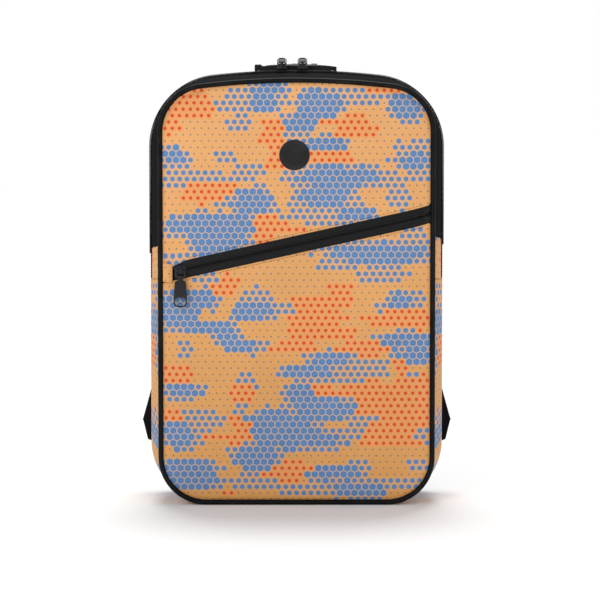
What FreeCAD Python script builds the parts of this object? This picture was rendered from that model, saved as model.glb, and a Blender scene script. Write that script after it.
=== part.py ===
"""A slim soft backpack: printed front and sides, a U-shaped main zip, a slanted pocket zip and a small
combination lock on top. Millimetres, +Z up, front faces -Y, origin at the middle of the base."""

import FreeCAD
import Part
import math
import os
from collections import namedtuple

V = FreeCAD.Vector
Section = namedtuple("Section", "y half bottom top corner foot arch")

# Overall form. A section is the bag's outline at one depth y: half width, base, crown of the arched top,
# radius of the upper corners, radius of the lower corners, radius of the arch.
WALL = 2.4
FRONT_SEAM = Section(-48.8, 139.2, 1.2, 431.6, 48.0, 47.0, 800.0)
ZIP_LINE = Section(-24.0, 149.0, 0.0, 440.0, 74.0, 62.0, 805.0)
FULLEST = Section(12.0, 149.0, 0.0, 440.0, 74.0, 62.0, 805.0)
BACK_SEAM = Section(48.6, 143.6, 0.0, 434.0, 68.0, 60.0, 800.0)
BODY = [FRONT_SEAM, ZIP_LINE, FULLEST, BACK_SEAM]

# Front panel and its piping.
FRONT_FACE = -56.0
PANEL_BACK = -50.0
PANEL = Section(PANEL_BACK, 135.0, 5.4, 427.6, 44.0, 43.5, 796.0)
PANEL_EDGE = 3.0
PIPING_R = 2.6
PIPING = Section(-51.5, 137.8, 2.6, 430.2, 46.6, 46.0, 798.6)

# Back panel and its piping.
BACK_FACE = 54.0
BACK_PANEL = Section(49.2, 139.6, 5.0, 429.0, 64.0, 56.0, 796.0)
BACK_PIPING_R = 2.4
BACK_PIPING = Section(51.2, 142.2, 2.4, 431.6, 66.6, 58.6, 798.6)

# The front opens along the zip and folds down about this line.
FOLD_Z = 229.0
FOLD_GAP = 0.3
STRIP_END_LEFT = 258.0
STRIP_END_RIGHT = 267.0
ZIP_GAP = 0.3
TEETH_WIDTH = 2.1
TEETH_HEIGHT = 1.5
REAR_TAPE_BACK = -10.0

# Slanted pocket zip on the front panel.
POCKET_ZIP_LEFT = V(-113.0, 0, 240.0)
POCKET_ZIP_RIGHT = V(135.5, 0, 295.0)
POCKET_ZIP_HALF = 8.8
POCKET_ZIP_TIP = V(-128.0, 0, 245.0)
POCKET_TAPE_Y = (-55.4, -53.8)
POCKET_TEETH_Y = (-53.7, -51.9)
POCKET_SLIDER_X = -117.0
SEAM = 0.3

# Sliders and pulls.
SLIDER_LIFT = 2.9
SLIDER_PLATE = 2.0
LUG_HALF = 1.6
LUG_HEIGHT = 4.6
PIN_R = 1.1
PIN_HEIGHT = 2.4
MAIN_SLIDERS = {"left": -15.0, "right": 6.0}
MAIN_PULL_LEAN = 31.0
RING_PIVOT_Y = -60.8
RING_DROP = 6.5
PULL_WIDTH = 13.5
PULL_LENGTH = 30.5
PULL_THICKNESS = 2.6

# Combination lock on the top, behind the zip.
LOCK_LEFT = -43.0
LOCK_RIGHT = 41.0
LOCK_CASE_LEFT = -31.0
LOCK_TOP = 448.5
LOCK_BASE_T = 1.8
DIAL_R = 4.4
DIAL_T = 6.0
DIAL_Y = 3.0
DIAL_Z = 445.1
DIALS_X = (-2.0, 8.0, 18.0)
BUTTON_TRAVEL = 4.0

# Shoulder straps: each is a band in the plane through its two sewn ends that stands back along +Y.
STRAP_TOP = V(70.0, 55.3, 388.0)
STRAP_FOOT = V(154.0, 55.3, 64.0)
PAD_WIDTH = 56.0
PAD_THICKNESS = 11.0
WEBBING_WIDTH = 25.0
WEBBING_THICKNESS = 1.8
FOOT_GAP = 10.0

# Haul handle: a rolled loop hanging behind the top seam.
HANDLE_R = 4.5
HANDLE_HALF = 20.0
HANDLE_Y = 61.0
HANDLE_Z = 426.0

REACH = 400.0


def save(name, shape):
    os.makedirs("parts", exist_ok=True)
    shape.exportStep(f"parts/{name}.step")


def box(x0, x1, y0, y1, z0, z1):
    return Part.makeBox(x1 - x0, y1 - y0, z1 - z0, V(x0, y0, z0))


def above(z):
    return box(-REACH, REACH, -REACH, REACH, z, z + 2 * REACH)


def below(z):
    return box(-REACH, REACH, -REACH, REACH, z - 2 * REACH, z)


def depth(y0, y1):
    return box(-REACH, REACH, y0, y1, -REACH, 2 * REACH)


def inset(section, amount, base=None):
    """The same outline, drawn in by an amount (out, if negative); the base may have its own."""
    base = amount if base is None else base
    return Section(section.y, section.half - amount, section.bottom + base, section.top - amount,
                   section.corner - amount, section.foot - amount, section.arch - amount)


def outline(s):
    """Closed wire of a section: flat base, rounded corners and an arched top, all tangent."""
    centre = s.top - s.arch
    side = s.half - s.corner
    rise = math.sqrt((s.arch - s.corner) ** 2 - side ** 2)
    corner_z = centre + rise
    lean = math.atan2(rise, side) / 2
    reach = s.arch / (s.arch - s.corner)
    foot_x = s.half - s.foot
    foot_z = s.bottom + s.foot
    tuck = s.foot * math.sqrt(0.5)

    def at(x, z):
        return V(x, s.y, z)

    shoulder = at(side * reach, centre + rise * reach)
    shoulder_left = at(-side * reach, centre + rise * reach)
    edges = [
        Part.makeLine(at(-foot_x, s.bottom), at(foot_x, s.bottom)),
        Part.Arc(at(foot_x, s.bottom), at(foot_x + tuck, foot_z - tuck), at(s.half, foot_z)).toShape(),
        Part.makeLine(at(s.half, foot_z), at(s.half, corner_z)),
        Part.Arc(at(s.half, corner_z),
                 at(side + s.corner * math.cos(lean), corner_z + s.corner * math.sin(lean)),
                 shoulder).toShape(),
        Part.Arc(shoulder, at(0, s.top), shoulder_left).toShape(),
        Part.Arc(shoulder_left,
                 at(-side - s.corner * math.cos(lean), corner_z + s.corner * math.sin(lean)),
                 at(-s.half, corner_z)).toShape(),
        Part.makeLine(at(-s.half, corner_z), at(-s.half, foot_z)),
        Part.Arc(at(-s.half, foot_z), at(-foot_x - tuck, foot_z - tuck), at(-foot_x, s.bottom)).toShape(),
    ]
    return Part.Wire(edges)


def loft(sections):
    return Part.makeLoft([outline(s) for s in sections], True, True)


def shell(sections, outer, inner, outer_base=None, inner_base=None):
    """The wall between two insets of the same run of sections."""
    outside = loft([inset(s, outer, outer_base) for s in sections])
    inside = loft([inset(s, inner, inner_base) for s in sections])
    return outside.cut(inside)


def ring(section, radius):
    """A round cord laid along a section's outline."""
    path = outline(section)
    start = path.Edges[0].valueAt(path.Edges[0].FirstParameter)
    circle = Part.Wire(Part.makeCircle(radius, start, V(1, 0, 0)))
    return path.makePipeShell([circle], True, True)


def prism(points, y0, y1):
    """A straight-sided solid from corner points in the XZ plane, between two depths."""
    corners = [V(p.x, y0, p.z) for p in points]
    return Part.Face(Part.makePolygon(corners + corners[:1])).extrude(V(0, y1 - y0, 0))


def rounded_plate(x0, x1, z0, z1, radius, y0, y1):
    plate = box(x0, x1, y0, y1, z0, z1)
    upright = [e for e in plate.Edges if abs(e.tangentAt(e.FirstParameter).y) > 0.99]
    return plate.makeFillet(radius, upright)


def merged(first, *others):
    solid = first
    for other in others:
        solid = solid.fuse(other)
    return solid.removeSplitter()


def mirrored(shape):
    return shape.mirror(V(0, 0, 0), V(1, 0, 0))


def tangents(points, radii):
    """For a rounded polyline: each corner's entry point, exit point, arc centre and turning side."""
    turns = []
    for before, corner, after, radius in zip(points, points[1:], points[2:], radii):
        into = (corner - before).normalize()
        out = (after - corner).normalize()
        turn = math.atan2(into.x * out.y - into.y * out.x, into.dot(out))
        run = radius * math.tan(abs(turn) / 2)
        side = math.copysign(1, turn)
        entry = corner - into * run
        centre = entry + V(-into.y, into.x, 0) * radius * side
        turns.append((entry, corner + out * run, centre, side, radius))
    return turns


def ribbon(points, radii, thickness, width):
    """A band of even thickness along a rounded polyline in XY, its width centred on Z = 0."""
    turns = tangents(points, radii)
    sides = []
    for shift in (thickness / 2, -thickness / 2):
        edges = []
        direction = (points[1] - points[0]).normalize()
        at = points[0] + V(-direction.y, direction.x, 0) * shift
        for entry, leave, centre, side, radius in turns:
            grow = (radius - side * shift) / radius
            start = centre + (entry - centre) * grow
            end = centre + (leave - centre) * grow
            middle = centre + ((start + end) * 0.5 - centre).normalize() * radius * grow
            edges.append(Part.makeLine(at, start))
            edges.append(Part.Arc(start, middle, end).toShape())
            at = end
        direction = (points[-1] - points[-2]).normalize()
        end = points[-1] + V(-direction.y, direction.x, 0) * shift
        edges.append(Part.makeLine(at, end))
        sides.append(edges)
    left, right = sides
    caps = [Part.makeLine(edge_end(left, -1), edge_end(right, -1)),
            Part.makeLine(edge_end(right, 0), edge_end(left, 0))]
    loop = Part.Wire(Part.__sortEdges__(left + right + caps))
    return Part.Face(loop).extrude(V(0, 0, width)).translated(V(0, 0, -width / 2))


def edge_end(edges, which):
    edge = edges[which]
    return edge.valueAt(edge.FirstParameter if which == 0 else edge.LastParameter)


def make_gusset():
    """The side walls, cut where the real strips are sewn together."""
    wall = shell(BODY, 0, WALL)
    low = FOLD_Z - FOLD_GAP
    high = FOLD_Z + FOLD_GAP
    front = depth(-REACH, ZIP_LINE.y - ZIP_GAP)
    left_end = box(-REACH, 0, -REACH, REACH, high, STRIP_END_LEFT)
    right_end = box(0, REACH, -REACH, REACH, high, STRIP_END_RIGHT)
    ends = Part.makeCompound([left_end, right_end])
    save("lower_gusset", wall.common(below(low)))
    save("rear_zip_tape", wall.common(above(low)).common(depth(ZIP_LINE.y + ZIP_GAP, REAR_TAPE_BACK)))
    save("rear_gusset", wall.common(above(low)).common(depth(REAR_TAPE_BACK, REACH)))
    flap_wall = wall.common(above(high)).common(front)
    save("front_zip_strip", flap_wall.cut(left_end).cut(right_end))
    save("zip_end_patches", flap_wall.common(ends))


def make_zip_teeth():
    """Each half of the coil is a raised row beside the zip line, ending in a stop."""
    rows = shell(BODY, -TEETH_HEIGHT, 0).common(above(FOLD_Z + FOLD_GAP))
    teeth = rows.cut(box(-REACH, 0, -REACH, REACH, 0, STRIP_END_LEFT))
    teeth = teeth.cut(box(0, REACH, -REACH, REACH, 0, STRIP_END_RIGHT))
    gap = ZIP_GAP
    y = ZIP_LINE.y
    save("front_zip_teeth", teeth.common(depth(y - gap - TEETH_WIDTH, y - gap)))
    save("rear_zip_teeth", teeth.common(depth(y + gap, y + gap + TEETH_WIDTH)))
    stop = 3.0
    stops = [rows.common(depth(y + gap, y + gap + 2 * TEETH_WIDTH)).common(area) for area in (
        box(-REACH, 0, -REACH, REACH, STRIP_END_LEFT - stop, STRIP_END_LEFT),
        box(0, REACH, -REACH, REACH, STRIP_END_RIGHT - stop, STRIP_END_RIGHT))]
    save("zip_end_stops", Part.makeCompound(stops))


def pocket_zip_axes():
    along = (POCKET_ZIP_RIGHT - POCKET_ZIP_LEFT).normalize()
    return along, V(-along.z, 0, along.x)


def pocket_band(half, y0, y1):
    """A slanted band about the pocket zip's centre line, pointed at its left end."""
    along, up = pocket_zip_axes()
    right = POCKET_ZIP_RIGHT + along * 40
    points = [POCKET_ZIP_TIP, POCKET_ZIP_LEFT - along * 2 + up * half, right + up * half,
              right - up * half, POCKET_ZIP_LEFT + along * 2 - up * half]
    return prism(points, y0, y1)


def make_front_panel():
    low = FOLD_Z - FOLD_GAP
    high = FOLD_Z + FOLD_GAP
    edge = PANEL._replace(y=FRONT_FACE + PANEL_EDGE)
    slab = loft([PANEL, edge, inset(PANEL._replace(y=FRONT_FACE), PANEL_EDGE)])
    save("lower_front_panel", slab.common(below(low)))
    tip = POCKET_ZIP_TIP
    seam = box(-REACH, tip.x + 1, -REACH, REACH, tip.z - SEAM / 2, tip.z + SEAM / 2)
    band = pocket_band(POCKET_ZIP_HALF, FRONT_FACE - 1, PANEL_BACK + 1)
    flap = slab.common(above(high)).cut(band).cut(seam)
    upper, lower = sorted(flap.Solids, key=lambda solid: -solid.Volume)[:2]
    save("upper_front_panel", upper)
    save("pocket_panel", lower)

    along, up = pocket_zip_axes()
    slit = 0.25
    right = POCKET_ZIP_RIGHT + along * 40
    cut = [POCKET_ZIP_TIP - up * slit, POCKET_ZIP_TIP + up * slit, POCKET_ZIP_LEFT + up * slit,
           right + up * slit, right - up * slit, POCKET_ZIP_LEFT - up * slit]
    tape = pocket_band(POCKET_ZIP_HALF - 0.2, *POCKET_TAPE_Y)
    inside = loft([inset(PANEL._replace(y=y), 0.4) for y in (-58, -50)])
    save("pocket_zip_tape", tape.common(inside).cut(prism(cut, FRONT_FACE, PANEL_BACK)))

    first = POCKET_ZIP_LEFT
    last = POCKET_ZIP_RIGHT - along * 8
    half = 2.6
    row = [first - up * half, first + up * half, last + up * half, last - up * half]
    save("pocket_zip_teeth", prism(row, *POCKET_TEETH_Y))
    stops = []
    for at in (first - along * 1.6, last + along * 1.6):
        corner = [at + along * i + up * j for i, j in ((-1.2, -3), (-1.2, 3), (1.2, 3), (1.2, -3))]
        stops.append(prism(corner, *POCKET_TEETH_Y))
    save("pocket_zip_stops", Part.makeCompound(stops))


def make_piping():
    cord = ring(PIPING, PIPING_R)
    save("lower_piping", cord.common(below(FOLD_Z - FOLD_GAP)))
    save("upper_piping", cord.common(above(FOLD_Z + FOLD_GAP)))
    save("back_piping", ring(BACK_PIPING, BACK_PIPING_R))


def make_badge():
    """A round rubber patch with a plain raised ring."""
    centre = V(-2.0, FRONT_FACE - 0.05, 355.0)
    disc = Part.makeCylinder(15.5, 1.4, centre, V(0, -1, 0))
    disc = disc.makeChamfer(0.4, [e for e in disc.Edges if e.BoundBox.YMax < FRONT_FACE - 1])
    rim = Part.makeCylinder(10.5, 0.7, centre + V(0, -1.4, 0), V(0, -1, 0))
    rim = rim.cut(Part.makeCylinder(8.5, 2, centre + V(0, -1, 0), V(0, -1, 0)))
    save("badge", merged(disc, rim))


def make_linings():
    """Thin inner skins: one for the main body, one for the flap, one for the front pocket."""
    low = FOLD_Z - 2 * FOLD_GAP
    skin = 0.6
    side = WALL + 0.5
    board = 4.8
    run = [FRONT_SEAM._replace(y=-41.0, half=142.0, top=434.0, corner=58.0, foot=52.0), ZIP_LINE, FULLEST,
           BACK_SEAM._replace(y=45.6)]
    tub = shell(run, side, side + skin, board, board + skin)
    back = BACK_SEAM._replace(y=45.0)
    wall = loft([inset(s, side, board) for s in (back, back._replace(y=45.6))])
    away = box(-REACH, REACH, -REACH, ZIP_LINE.y + 2.5, low, 2 * REACH)
    save("main_lining", merged(tub, wall).cut(away))

    run = [FRONT_SEAM._replace(y=-49.0), ZIP_LINE._replace(y=-26.5)]
    side = WALL + 2.6
    tub = shell(run, side, side + skin)
    wall = loft([inset(FRONT_SEAM._replace(y=y), side) for y in (-49.6, -49.0)])
    save("flap_lining", merged(tub, wall).common(above(FOLD_Z + 2 * FOLD_GAP)))

    outer = loft([inset(FRONT_SEAM._replace(y=y), 17) for y in (-49.8, -41.5)])
    inner = loft([inset(FRONT_SEAM._replace(y=y), 18) for y in (-51.0, -42.1)])
    save("pocket_lining", outer.common(below(226)).cut(inner))


def make_stiffeners():
    save("base_board", box(-86, 86, -28, 42, 2.8, 4.4))
    flat = inset(BACK_SEAM, 8)
    save("back_stiffener", loft([flat._replace(y=y) for y in (46.4, 48.0)]))


def make_laptop_sleeve():
    """An open-topped padded pouch against the back, and the strap that closes it."""
    pouch = rounded_plate(-112, 112, 6.4, 330, 24, 27, 44.8)
    pouch = pouch.cut(rounded_plate(-109, 109, 9, 340, 21, 32, 50)).common(below(300))
    save("laptop_sleeve", pouch)
    bridge = box(-19, 19, 24.7, 44.2, 305.2, 306.8)
    tongue = box(-19, 19, 24.7, 26.3, 278, 306)
    save("sleeve_strap", merged(bridge, tongue))


def make_back():
    rear = BACK_PANEL._replace(y=BACK_FACE)
    slab = loft([BACK_PANEL, BACK_PANEL._replace(y=BACK_FACE - 2), inset(rear, 2)])
    save("back_panel", slab)
    top_y = BACK_FACE + 0.2
    for side, sign in (("left", -1), ("right", 1)):
        x0, x1 = sorted((sign * 8, sign * 112))
        pad = rounded_plate(x0, x1, 128, 362, 22, top_y, 60.5)
        rim = [e for e in pad.Edges if e.BoundBox.YMin > 60.4]
        save(f"back_pad_{side}", pad.makeChamfer(3.0, rim))
    pad = rounded_plate(-112, 112, 26, 116, 22, top_y, 60.5)
    rim = [e for e in pad.Edges if e.BoundBox.YMin > 60.4]
    save("back_pad_lower", pad.makeChamfer(3.0, rim))
    corners = [V(-108, 0, 370), V(-92, 0, 424), V(92, 0, 424), V(108, 0, 370)]
    save("strap_yoke", prism(corners, top_y, 55.6))


def strap_frame():
    """Placement that carries a band drawn in XY onto the right strap's plane."""
    along = (STRAP_FOOT - STRAP_TOP).normalize()
    back = V(0, 1, 0)
    across = along.cross(back)
    turn = FreeCAD.Matrix(along.x, back.x, across.x, STRAP_TOP.x,
                          along.y, back.y, across.y, STRAP_TOP.y,
                          along.z, back.z, across.z, STRAP_TOP.z,
                          0, 0, 0, 1)
    return FreeCAD.Placement(turn)


def make_straps():
    place = strap_frame()
    run = (STRAP_FOOT - STRAP_TOP).Length
    foot = run - FOOT_GAP
    pad = ribbon([V(-6, 17), V(-22, 30), V(-10, 54), V(90, 58), V(184, 47)], [11, 20, 300],
                 PAD_THICKNESS, PAD_WIDTH)
    frame = ribbon([V(184.4, 47), V(208, 44.2)], [], 4.6, 34)
    for middle in (190.5, 201.0):
        frame = frame.cut(box(middle - 3.2, middle + 3.2, 30, 60, -13.4, 13.4))
    webbing = ribbon([V(196, 45.9), V(205, 44.9), V(262, 31), V(foot, 0.0)], [30, 60],
                     WEBBING_THICKNESS, WEBBING_WIDTH)
    tail = ribbon([V(195, 47.2), V(212, 49), V(252, 45)], [40], WEBBING_THICKNESS, WEBBING_WIDTH)
    pieces = {"strap_pad": pad, "strap_adjuster": frame.cut(webbing).cut(tail),
              "strap_webbing": merged(webbing, tail)}
    for name, shape in pieces.items():
        shape.Placement = place.multiply(shape.Placement)
        save(f"{name}_right", shape)
        save(f"{name}_left", mirrored(shape))

    roots = []
    tabs = []
    along = (STRAP_FOOT - STRAP_TOP).normalize()
    across = V(-along.z, 0, along.x)
    end = STRAP_FOOT - along * (FOOT_GAP - 0.6)
    half = WEBBING_WIDTH / 2
    corners = [V(130, 0, 42), V(158.5, 0, 54), end + across * half, end - across * half, V(130, 0, 80)]
    tab = prism(corners, BACK_FACE + 0.2, BACK_FACE + 2.4)
    root = rounded_plate(STRAP_TOP.x - 28, STRAP_TOP.x + 28, 374, 396, 5, 55.8, 60.2)
    for shape, group in ((root, roots), (tab, tabs)):
        group.extend([shape, mirrored(shape)])
    save("strap_roots", Part.makeCompound(roots))
    save("strap_anchors", Part.makeCompound(tabs))


def make_handle():
    """A rolled loop: two legs and a half round, swinging about a line through its upper ends."""
    drop = 26.0
    y = HANDLE_Y
    z = HANDLE_Z - drop
    path = Part.Wire([
        Part.makeLine(V(-HANDLE_HALF, y, HANDLE_Z + 3), V(-HANDLE_HALF, y, z)),
        Part.Arc(V(-HANDLE_HALF, y, z), V(0, y, z - HANDLE_HALF), V(HANDLE_HALF, y, z)).toShape(),
        Part.makeLine(V(HANDLE_HALF, y, z), V(HANDLE_HALF, y, HANDLE_Z + 3))])
    circle = Part.Wire(Part.makeCircle(HANDLE_R, V(-HANDLE_HALF, y, HANDLE_Z + 3), V(0, 0, 1)))
    save("haul_handle", path.makePipeShell([circle], True, True))
    gap = 1.0
    half = HANDLE_HALF - HANDLE_R - gap
    save("handle_anchor", rounded_plate(-half, half, 419, 432, 3, 55.8, 64.0))


def top_of(x, section=FULLEST):
    """Height of the arched top's outer face at x."""
    return section.top - section.arch + math.sqrt(section.arch ** 2 - x * x)


def make_lock():
    lift = shell([ZIP_LINE, FULLEST, BACK_SEAM], -LOCK_BASE_T, 0)
    base = lift.common(box(LOCK_LEFT, LOCK_RIGHT, -15, 12.0, 400, 500))
    window = box(DIALS_X[0] - 4, DIALS_X[-1] + 4, DIAL_Y - DIAL_R - 0.6, DIAL_Y + DIAL_R + 0.6, 430, 460)
    save("lock_base", base.cut(window))

    front, rear, bevel = -10.5, 11.8, 1.8
    profile = [V(0, front, 438), V(0, front, LOCK_TOP - bevel), V(0, front + bevel, LOCK_TOP),
               V(0, rear - bevel, LOCK_TOP), V(0, rear, LOCK_TOP - bevel), V(0, rear, 438)]
    case = Part.Face(Part.makePolygon(profile + profile[:1])).extrude(V(LOCK_RIGHT - LOCK_CASE_LEFT, 0, 0))
    case = case.translated(V(LOCK_CASE_LEFT, 0, 0))
    crown = Part.makeCylinder(300, 60, V(-1, -30, LOCK_TOP - 300), V(0, 1, 0))
    case = case.common(crown)
    for y0, y1 in ((front, -9.8), (9.8, rear)):
        case = case.fuse(box(LOCK_LEFT, LOCK_CASE_LEFT + 1, y0, y1, 438, 446.4))
    case = case.removeSplitter()
    floor = loft([inset(s, -LOCK_BASE_T - 0.02) for s in (ZIP_LINE, FULLEST, BACK_SEAM)])
    case = case.cut(floor)
    for x in DIALS_X:
        room = DIAL_T / 2 + 0.4
        reach = DIAL_R + 0.4
        case = case.cut(box(x - room, x + room, DIAL_Y - reach, DIAL_Y + reach, 438, LOCK_TOP + 1))
    spindle_from = DIALS_X[0] - 8
    spindle_length = DIALS_X[-1] + 8 - spindle_from
    case = case.cut(Part.makeCylinder(1.2, spindle_length, V(spindle_from, DIAL_Y, DIAL_Z), V(1, 0, 0)))
    case = case.cut(box(-32, 18, -9.0, -5.2, 442.6, 446.0))
    for x in MAIN_SLIDERS.values():
        case = case.cut(box(x - 2.0, x + 2.0, -11, -5.2, 443.0, 445.6))
    save("lock_case", case)
    save("lock_spindle", Part.makeCylinder(1.15, spindle_length, V(spindle_from, DIAL_Y, DIAL_Z), V(1, 0, 0)))

    for number, x in enumerate(DIALS_X, 1):
        dial = Part.makeCylinder(DIAL_R, DIAL_T, V(x - DIAL_T / 2, DIAL_Y, DIAL_Z), V(1, 0, 0))
        dial = dial.makeChamfer(0.4, [e for e in dial.Edges if e.Closed])
        dial = dial.cut(Part.makeCylinder(1.2, DIAL_T + 1, V(x - DIAL_T / 2 - 0.5, DIAL_Y, DIAL_Z),
                                          V(1, 0, 0)))
        save(f"lock_dial_{number}", dial)

    button = box(LOCK_LEFT, LOCK_LEFT + 7.4, -9.5, 9.5, 441.4, 448.0)
    button = button.makeFillet(1.4, [e for e in button.Edges if e.BoundBox.ZMin > 447.9])
    stem = box(LOCK_LEFT + 7, LOCK_CASE_LEFT - 0.2, -8.6, -5.6, 443.0, 445.6)
    save("lock_button", merged(button, stem))
    save("lock_latch", box(LOCK_CASE_LEFT - 0.2, 12, -8.6, -5.6, 443.0, 445.6))

    rivets = []
    for x in (-39.0, 36.5):
        z = top_of(x) + LOCK_BASE_T
        head = Part.makeSphere(2.6, V(x, -12.7, z - 1.6)).common(above(z + 0.12))
        rivets.append(head)
    save("lock_rivets", Part.makeCompound(rivets))


def slider(length, width, place, pin):
    """A zip slider on its track: a plate and a lug, with the eye that its pull's pin turns in."""
    plate = rounded_plate(-length / 2, length / 2, -width / 2, width / 2, 2.2, -SLIDER_PLATE, 0)
    lug = rounded_plate(-LUG_HALF, LUG_HALF, -2.4, 2.4, 0.8, -SLIDER_PLATE - LUG_HEIGHT, -SLIDER_PLATE + 0.2)
    solid = merged(plate, lug)
    solid.Placement = place.multiply(solid.Placement)
    return solid.cut(Part.makeCylinder(PIN_R + 0.3, 16, pin - V(8, 0, 0), V(1, 0, 0)))


def wire_ring(half, length, pin, bend=1.8):
    """A rounded rectangle of wire hanging in the XZ plane from the middle of its top bar."""
    tuck = bend * (1 - math.sqrt(0.5))
    y = pin.y
    top, foot = pin.z, pin.z - length

    def at(x, z):
        return V(x + pin.x, y, z)

    path = Part.Wire([
        Part.makeLine(at(-half + bend, top), at(half - bend, top)),
        Part.Arc(at(half - bend, top), at(half - tuck, top - tuck), at(half, top - bend)).toShape(),
        Part.makeLine(at(half, top - bend), at(half, foot + bend)),
        Part.Arc(at(half, foot + bend), at(half - tuck, foot + tuck), at(half - bend, foot)).toShape(),
        Part.makeLine(at(half - bend, foot), at(-half + bend, foot)),
        Part.Arc(at(-half + bend, foot), at(-half + tuck, foot + tuck), at(-half, foot + bend)).toShape(),
        Part.makeLine(at(-half, foot + bend), at(-half, top - bend)),
        Part.Arc(at(-half, top - bend), at(-half + tuck, top - tuck), at(-half + bend, top)).toShape()])
    circle = Part.Wire(Part.makeCircle(PIN_R, at(-half + bend, top), V(1, 0, 0)))
    return path.makePipeShell([circle], True, True)


def make_pocket_slider():
    along, up = pocket_zip_axes()
    reach = (POCKET_SLIDER_X - POCKET_ZIP_LEFT.x) / along.x
    seat = POCKET_ZIP_LEFT + along * reach + V(0, FRONT_FACE - 0.3, 0)
    pin = V(seat.x, RING_PIVOT_Y, seat.z)
    slope = math.degrees(math.atan2(along.z, along.x))
    place = FreeCAD.Placement(seat, FreeCAD.Rotation(V(0, 1, 0), -slope))
    save("pocket_slider", slider(12.0, 8.6, place, pin))
    save("pocket_pull_ring", wire_ring(4.4, RING_DROP, pin))

    hinge = pin - V(0, 0, RING_DROP)
    barrel = Part.makeCylinder(2.3, 5.2, hinge - V(2.6, 0, 0), V(1, 0, 0))
    y0 = pin.y - PULL_THICKNESS / 2
    y1 = pin.y + PULL_THICKNESS / 2
    half = PULL_WIDTH / 2
    top = hinge.z - 3.6
    foot = top - PULL_LENGTH + 3.6
    plate = rounded_plate(pin.x - half, pin.x + half, foot, top, 4.6, y0, y1)
    waist = [V(pin.x - 5.4, 0, top + 1), V(pin.x + 5.4, 0, top + 1), V(pin.x + half, 0, foot + 9),
             V(pin.x + half, 0, foot - 1), V(pin.x - half, 0, foot - 1), V(pin.x - half, 0, foot + 9)]
    plate = plate.common(prism(waist, y0 - 1, y1 + 1))
    neck = box(pin.x - 2.6, pin.x + 2.6, y0, y1, top - 1, hinge.z - 1)
    tab = merged(plate, neck, barrel)
    tab = tab.cut(Part.makeCylinder(PIN_R + 0.25, 8, hinge - V(4, 0, 0), V(1, 0, 0)))
    dish = rounded_plate(pin.x - half + 2.6, pin.x + half - 2.6, foot + 12.5, top - 3, 2, y0 - 1, y0 + 0.6)
    slot = rounded_plate(pin.x - half + 1.3, pin.x + half - 1.3, foot + 1.3, foot + 9.6, 3.6,
                         y0 - 1, y1 + 1)
    save("pocket_pull_tab", tab.cut(dish).cut(slot))


def make_main_sliders():
    """Two sliders meet near the middle of the top; their ring pulls lean back against the lock."""
    for side, x in MAIN_SLIDERS.items():
        seat = V(x, ZIP_LINE.y, top_of(x) + SLIDER_LIFT)
        lean = math.degrees(math.asin(x / ZIP_LINE.arch))
        place = FreeCAD.Placement(seat, FreeCAD.Rotation(V(0, 1, 0), lean)).multiply(
            FreeCAD.Placement(V(0, 0, 0), FreeCAD.Rotation(V(1, 0, 0), -90)))
        pin = V(x, seat.y, seat.z + SLIDER_PLATE + PIN_HEIGHT)
        save(f"{side}_zip_slider", slider(11.0, 9.0, place, pin))
        pull = wire_ring(3.8, 12.4, pin, 3.0)
        pull.rotate(pin, V(1, 0, 0), 90 + MAIN_PULL_LEAN)
        save(f"{side}_zip_pull", pull)


def main():
    make_gusset()
    make_zip_teeth()
    make_front_panel()
    make_piping()
    make_badge()
    make_linings()
    make_stiffeners()
    make_laptop_sleeve()
    make_back()
    make_straps()
    make_handle()
    make_lock()
    make_pocket_slider()
    make_main_sliders()


main()
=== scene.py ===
"""Looks of a slim soft backpack with a hexagon-dot camouflage print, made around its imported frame."""

import math
import random
from collections import namedtuple

import bmesh
import bpy
from mathutils import Matrix, Vector


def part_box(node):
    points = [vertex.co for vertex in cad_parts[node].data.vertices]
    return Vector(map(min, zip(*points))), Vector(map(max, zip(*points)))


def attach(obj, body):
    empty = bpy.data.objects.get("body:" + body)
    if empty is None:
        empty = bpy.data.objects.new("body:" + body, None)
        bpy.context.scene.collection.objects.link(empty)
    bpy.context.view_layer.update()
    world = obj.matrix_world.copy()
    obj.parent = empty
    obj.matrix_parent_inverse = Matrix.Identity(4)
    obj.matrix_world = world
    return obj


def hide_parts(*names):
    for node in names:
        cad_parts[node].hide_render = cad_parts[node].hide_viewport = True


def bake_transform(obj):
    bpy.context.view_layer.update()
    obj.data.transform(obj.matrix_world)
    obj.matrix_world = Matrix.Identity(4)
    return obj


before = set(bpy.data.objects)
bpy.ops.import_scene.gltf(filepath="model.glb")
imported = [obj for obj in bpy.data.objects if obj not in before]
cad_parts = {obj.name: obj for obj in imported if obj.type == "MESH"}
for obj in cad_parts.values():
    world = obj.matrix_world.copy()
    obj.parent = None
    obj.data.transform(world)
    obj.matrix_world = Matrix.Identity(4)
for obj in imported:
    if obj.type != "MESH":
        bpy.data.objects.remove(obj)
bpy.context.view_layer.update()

MM = 0.001
Section = namedtuple("Section", "half bottom top corner foot arch")

# Outlines of the bag at its seams, in millimetres: half width, base, crown, upper corner radius,
# lower corner radius and the radius of the arched top.
FRONT_SEAM = Section(139.2, 1.2, 431.6, 48.0, 47.0, 800.0)
FULLEST = Section(149.0, 0.0, 440.0, 74.0, 62.0, 805.0)
BACK_SEAM = Section(143.6, 0.0, 434.0, 68.0, 60.0, 800.0)
PANEL = Section(135.4, 5.0, 428.0, 44.4, 43.9, 796.4)
PIPING = Section(137.8, 2.6, 430.2, 46.6, 46.0, 798.6)
BACK_PANEL = Section(140.4, 4.2, 429.8, 64.8, 56.8, 796.8)
BACK_PIPING = Section(142.2, 2.4, 431.6, 66.6, 58.6, 798.6)

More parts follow.
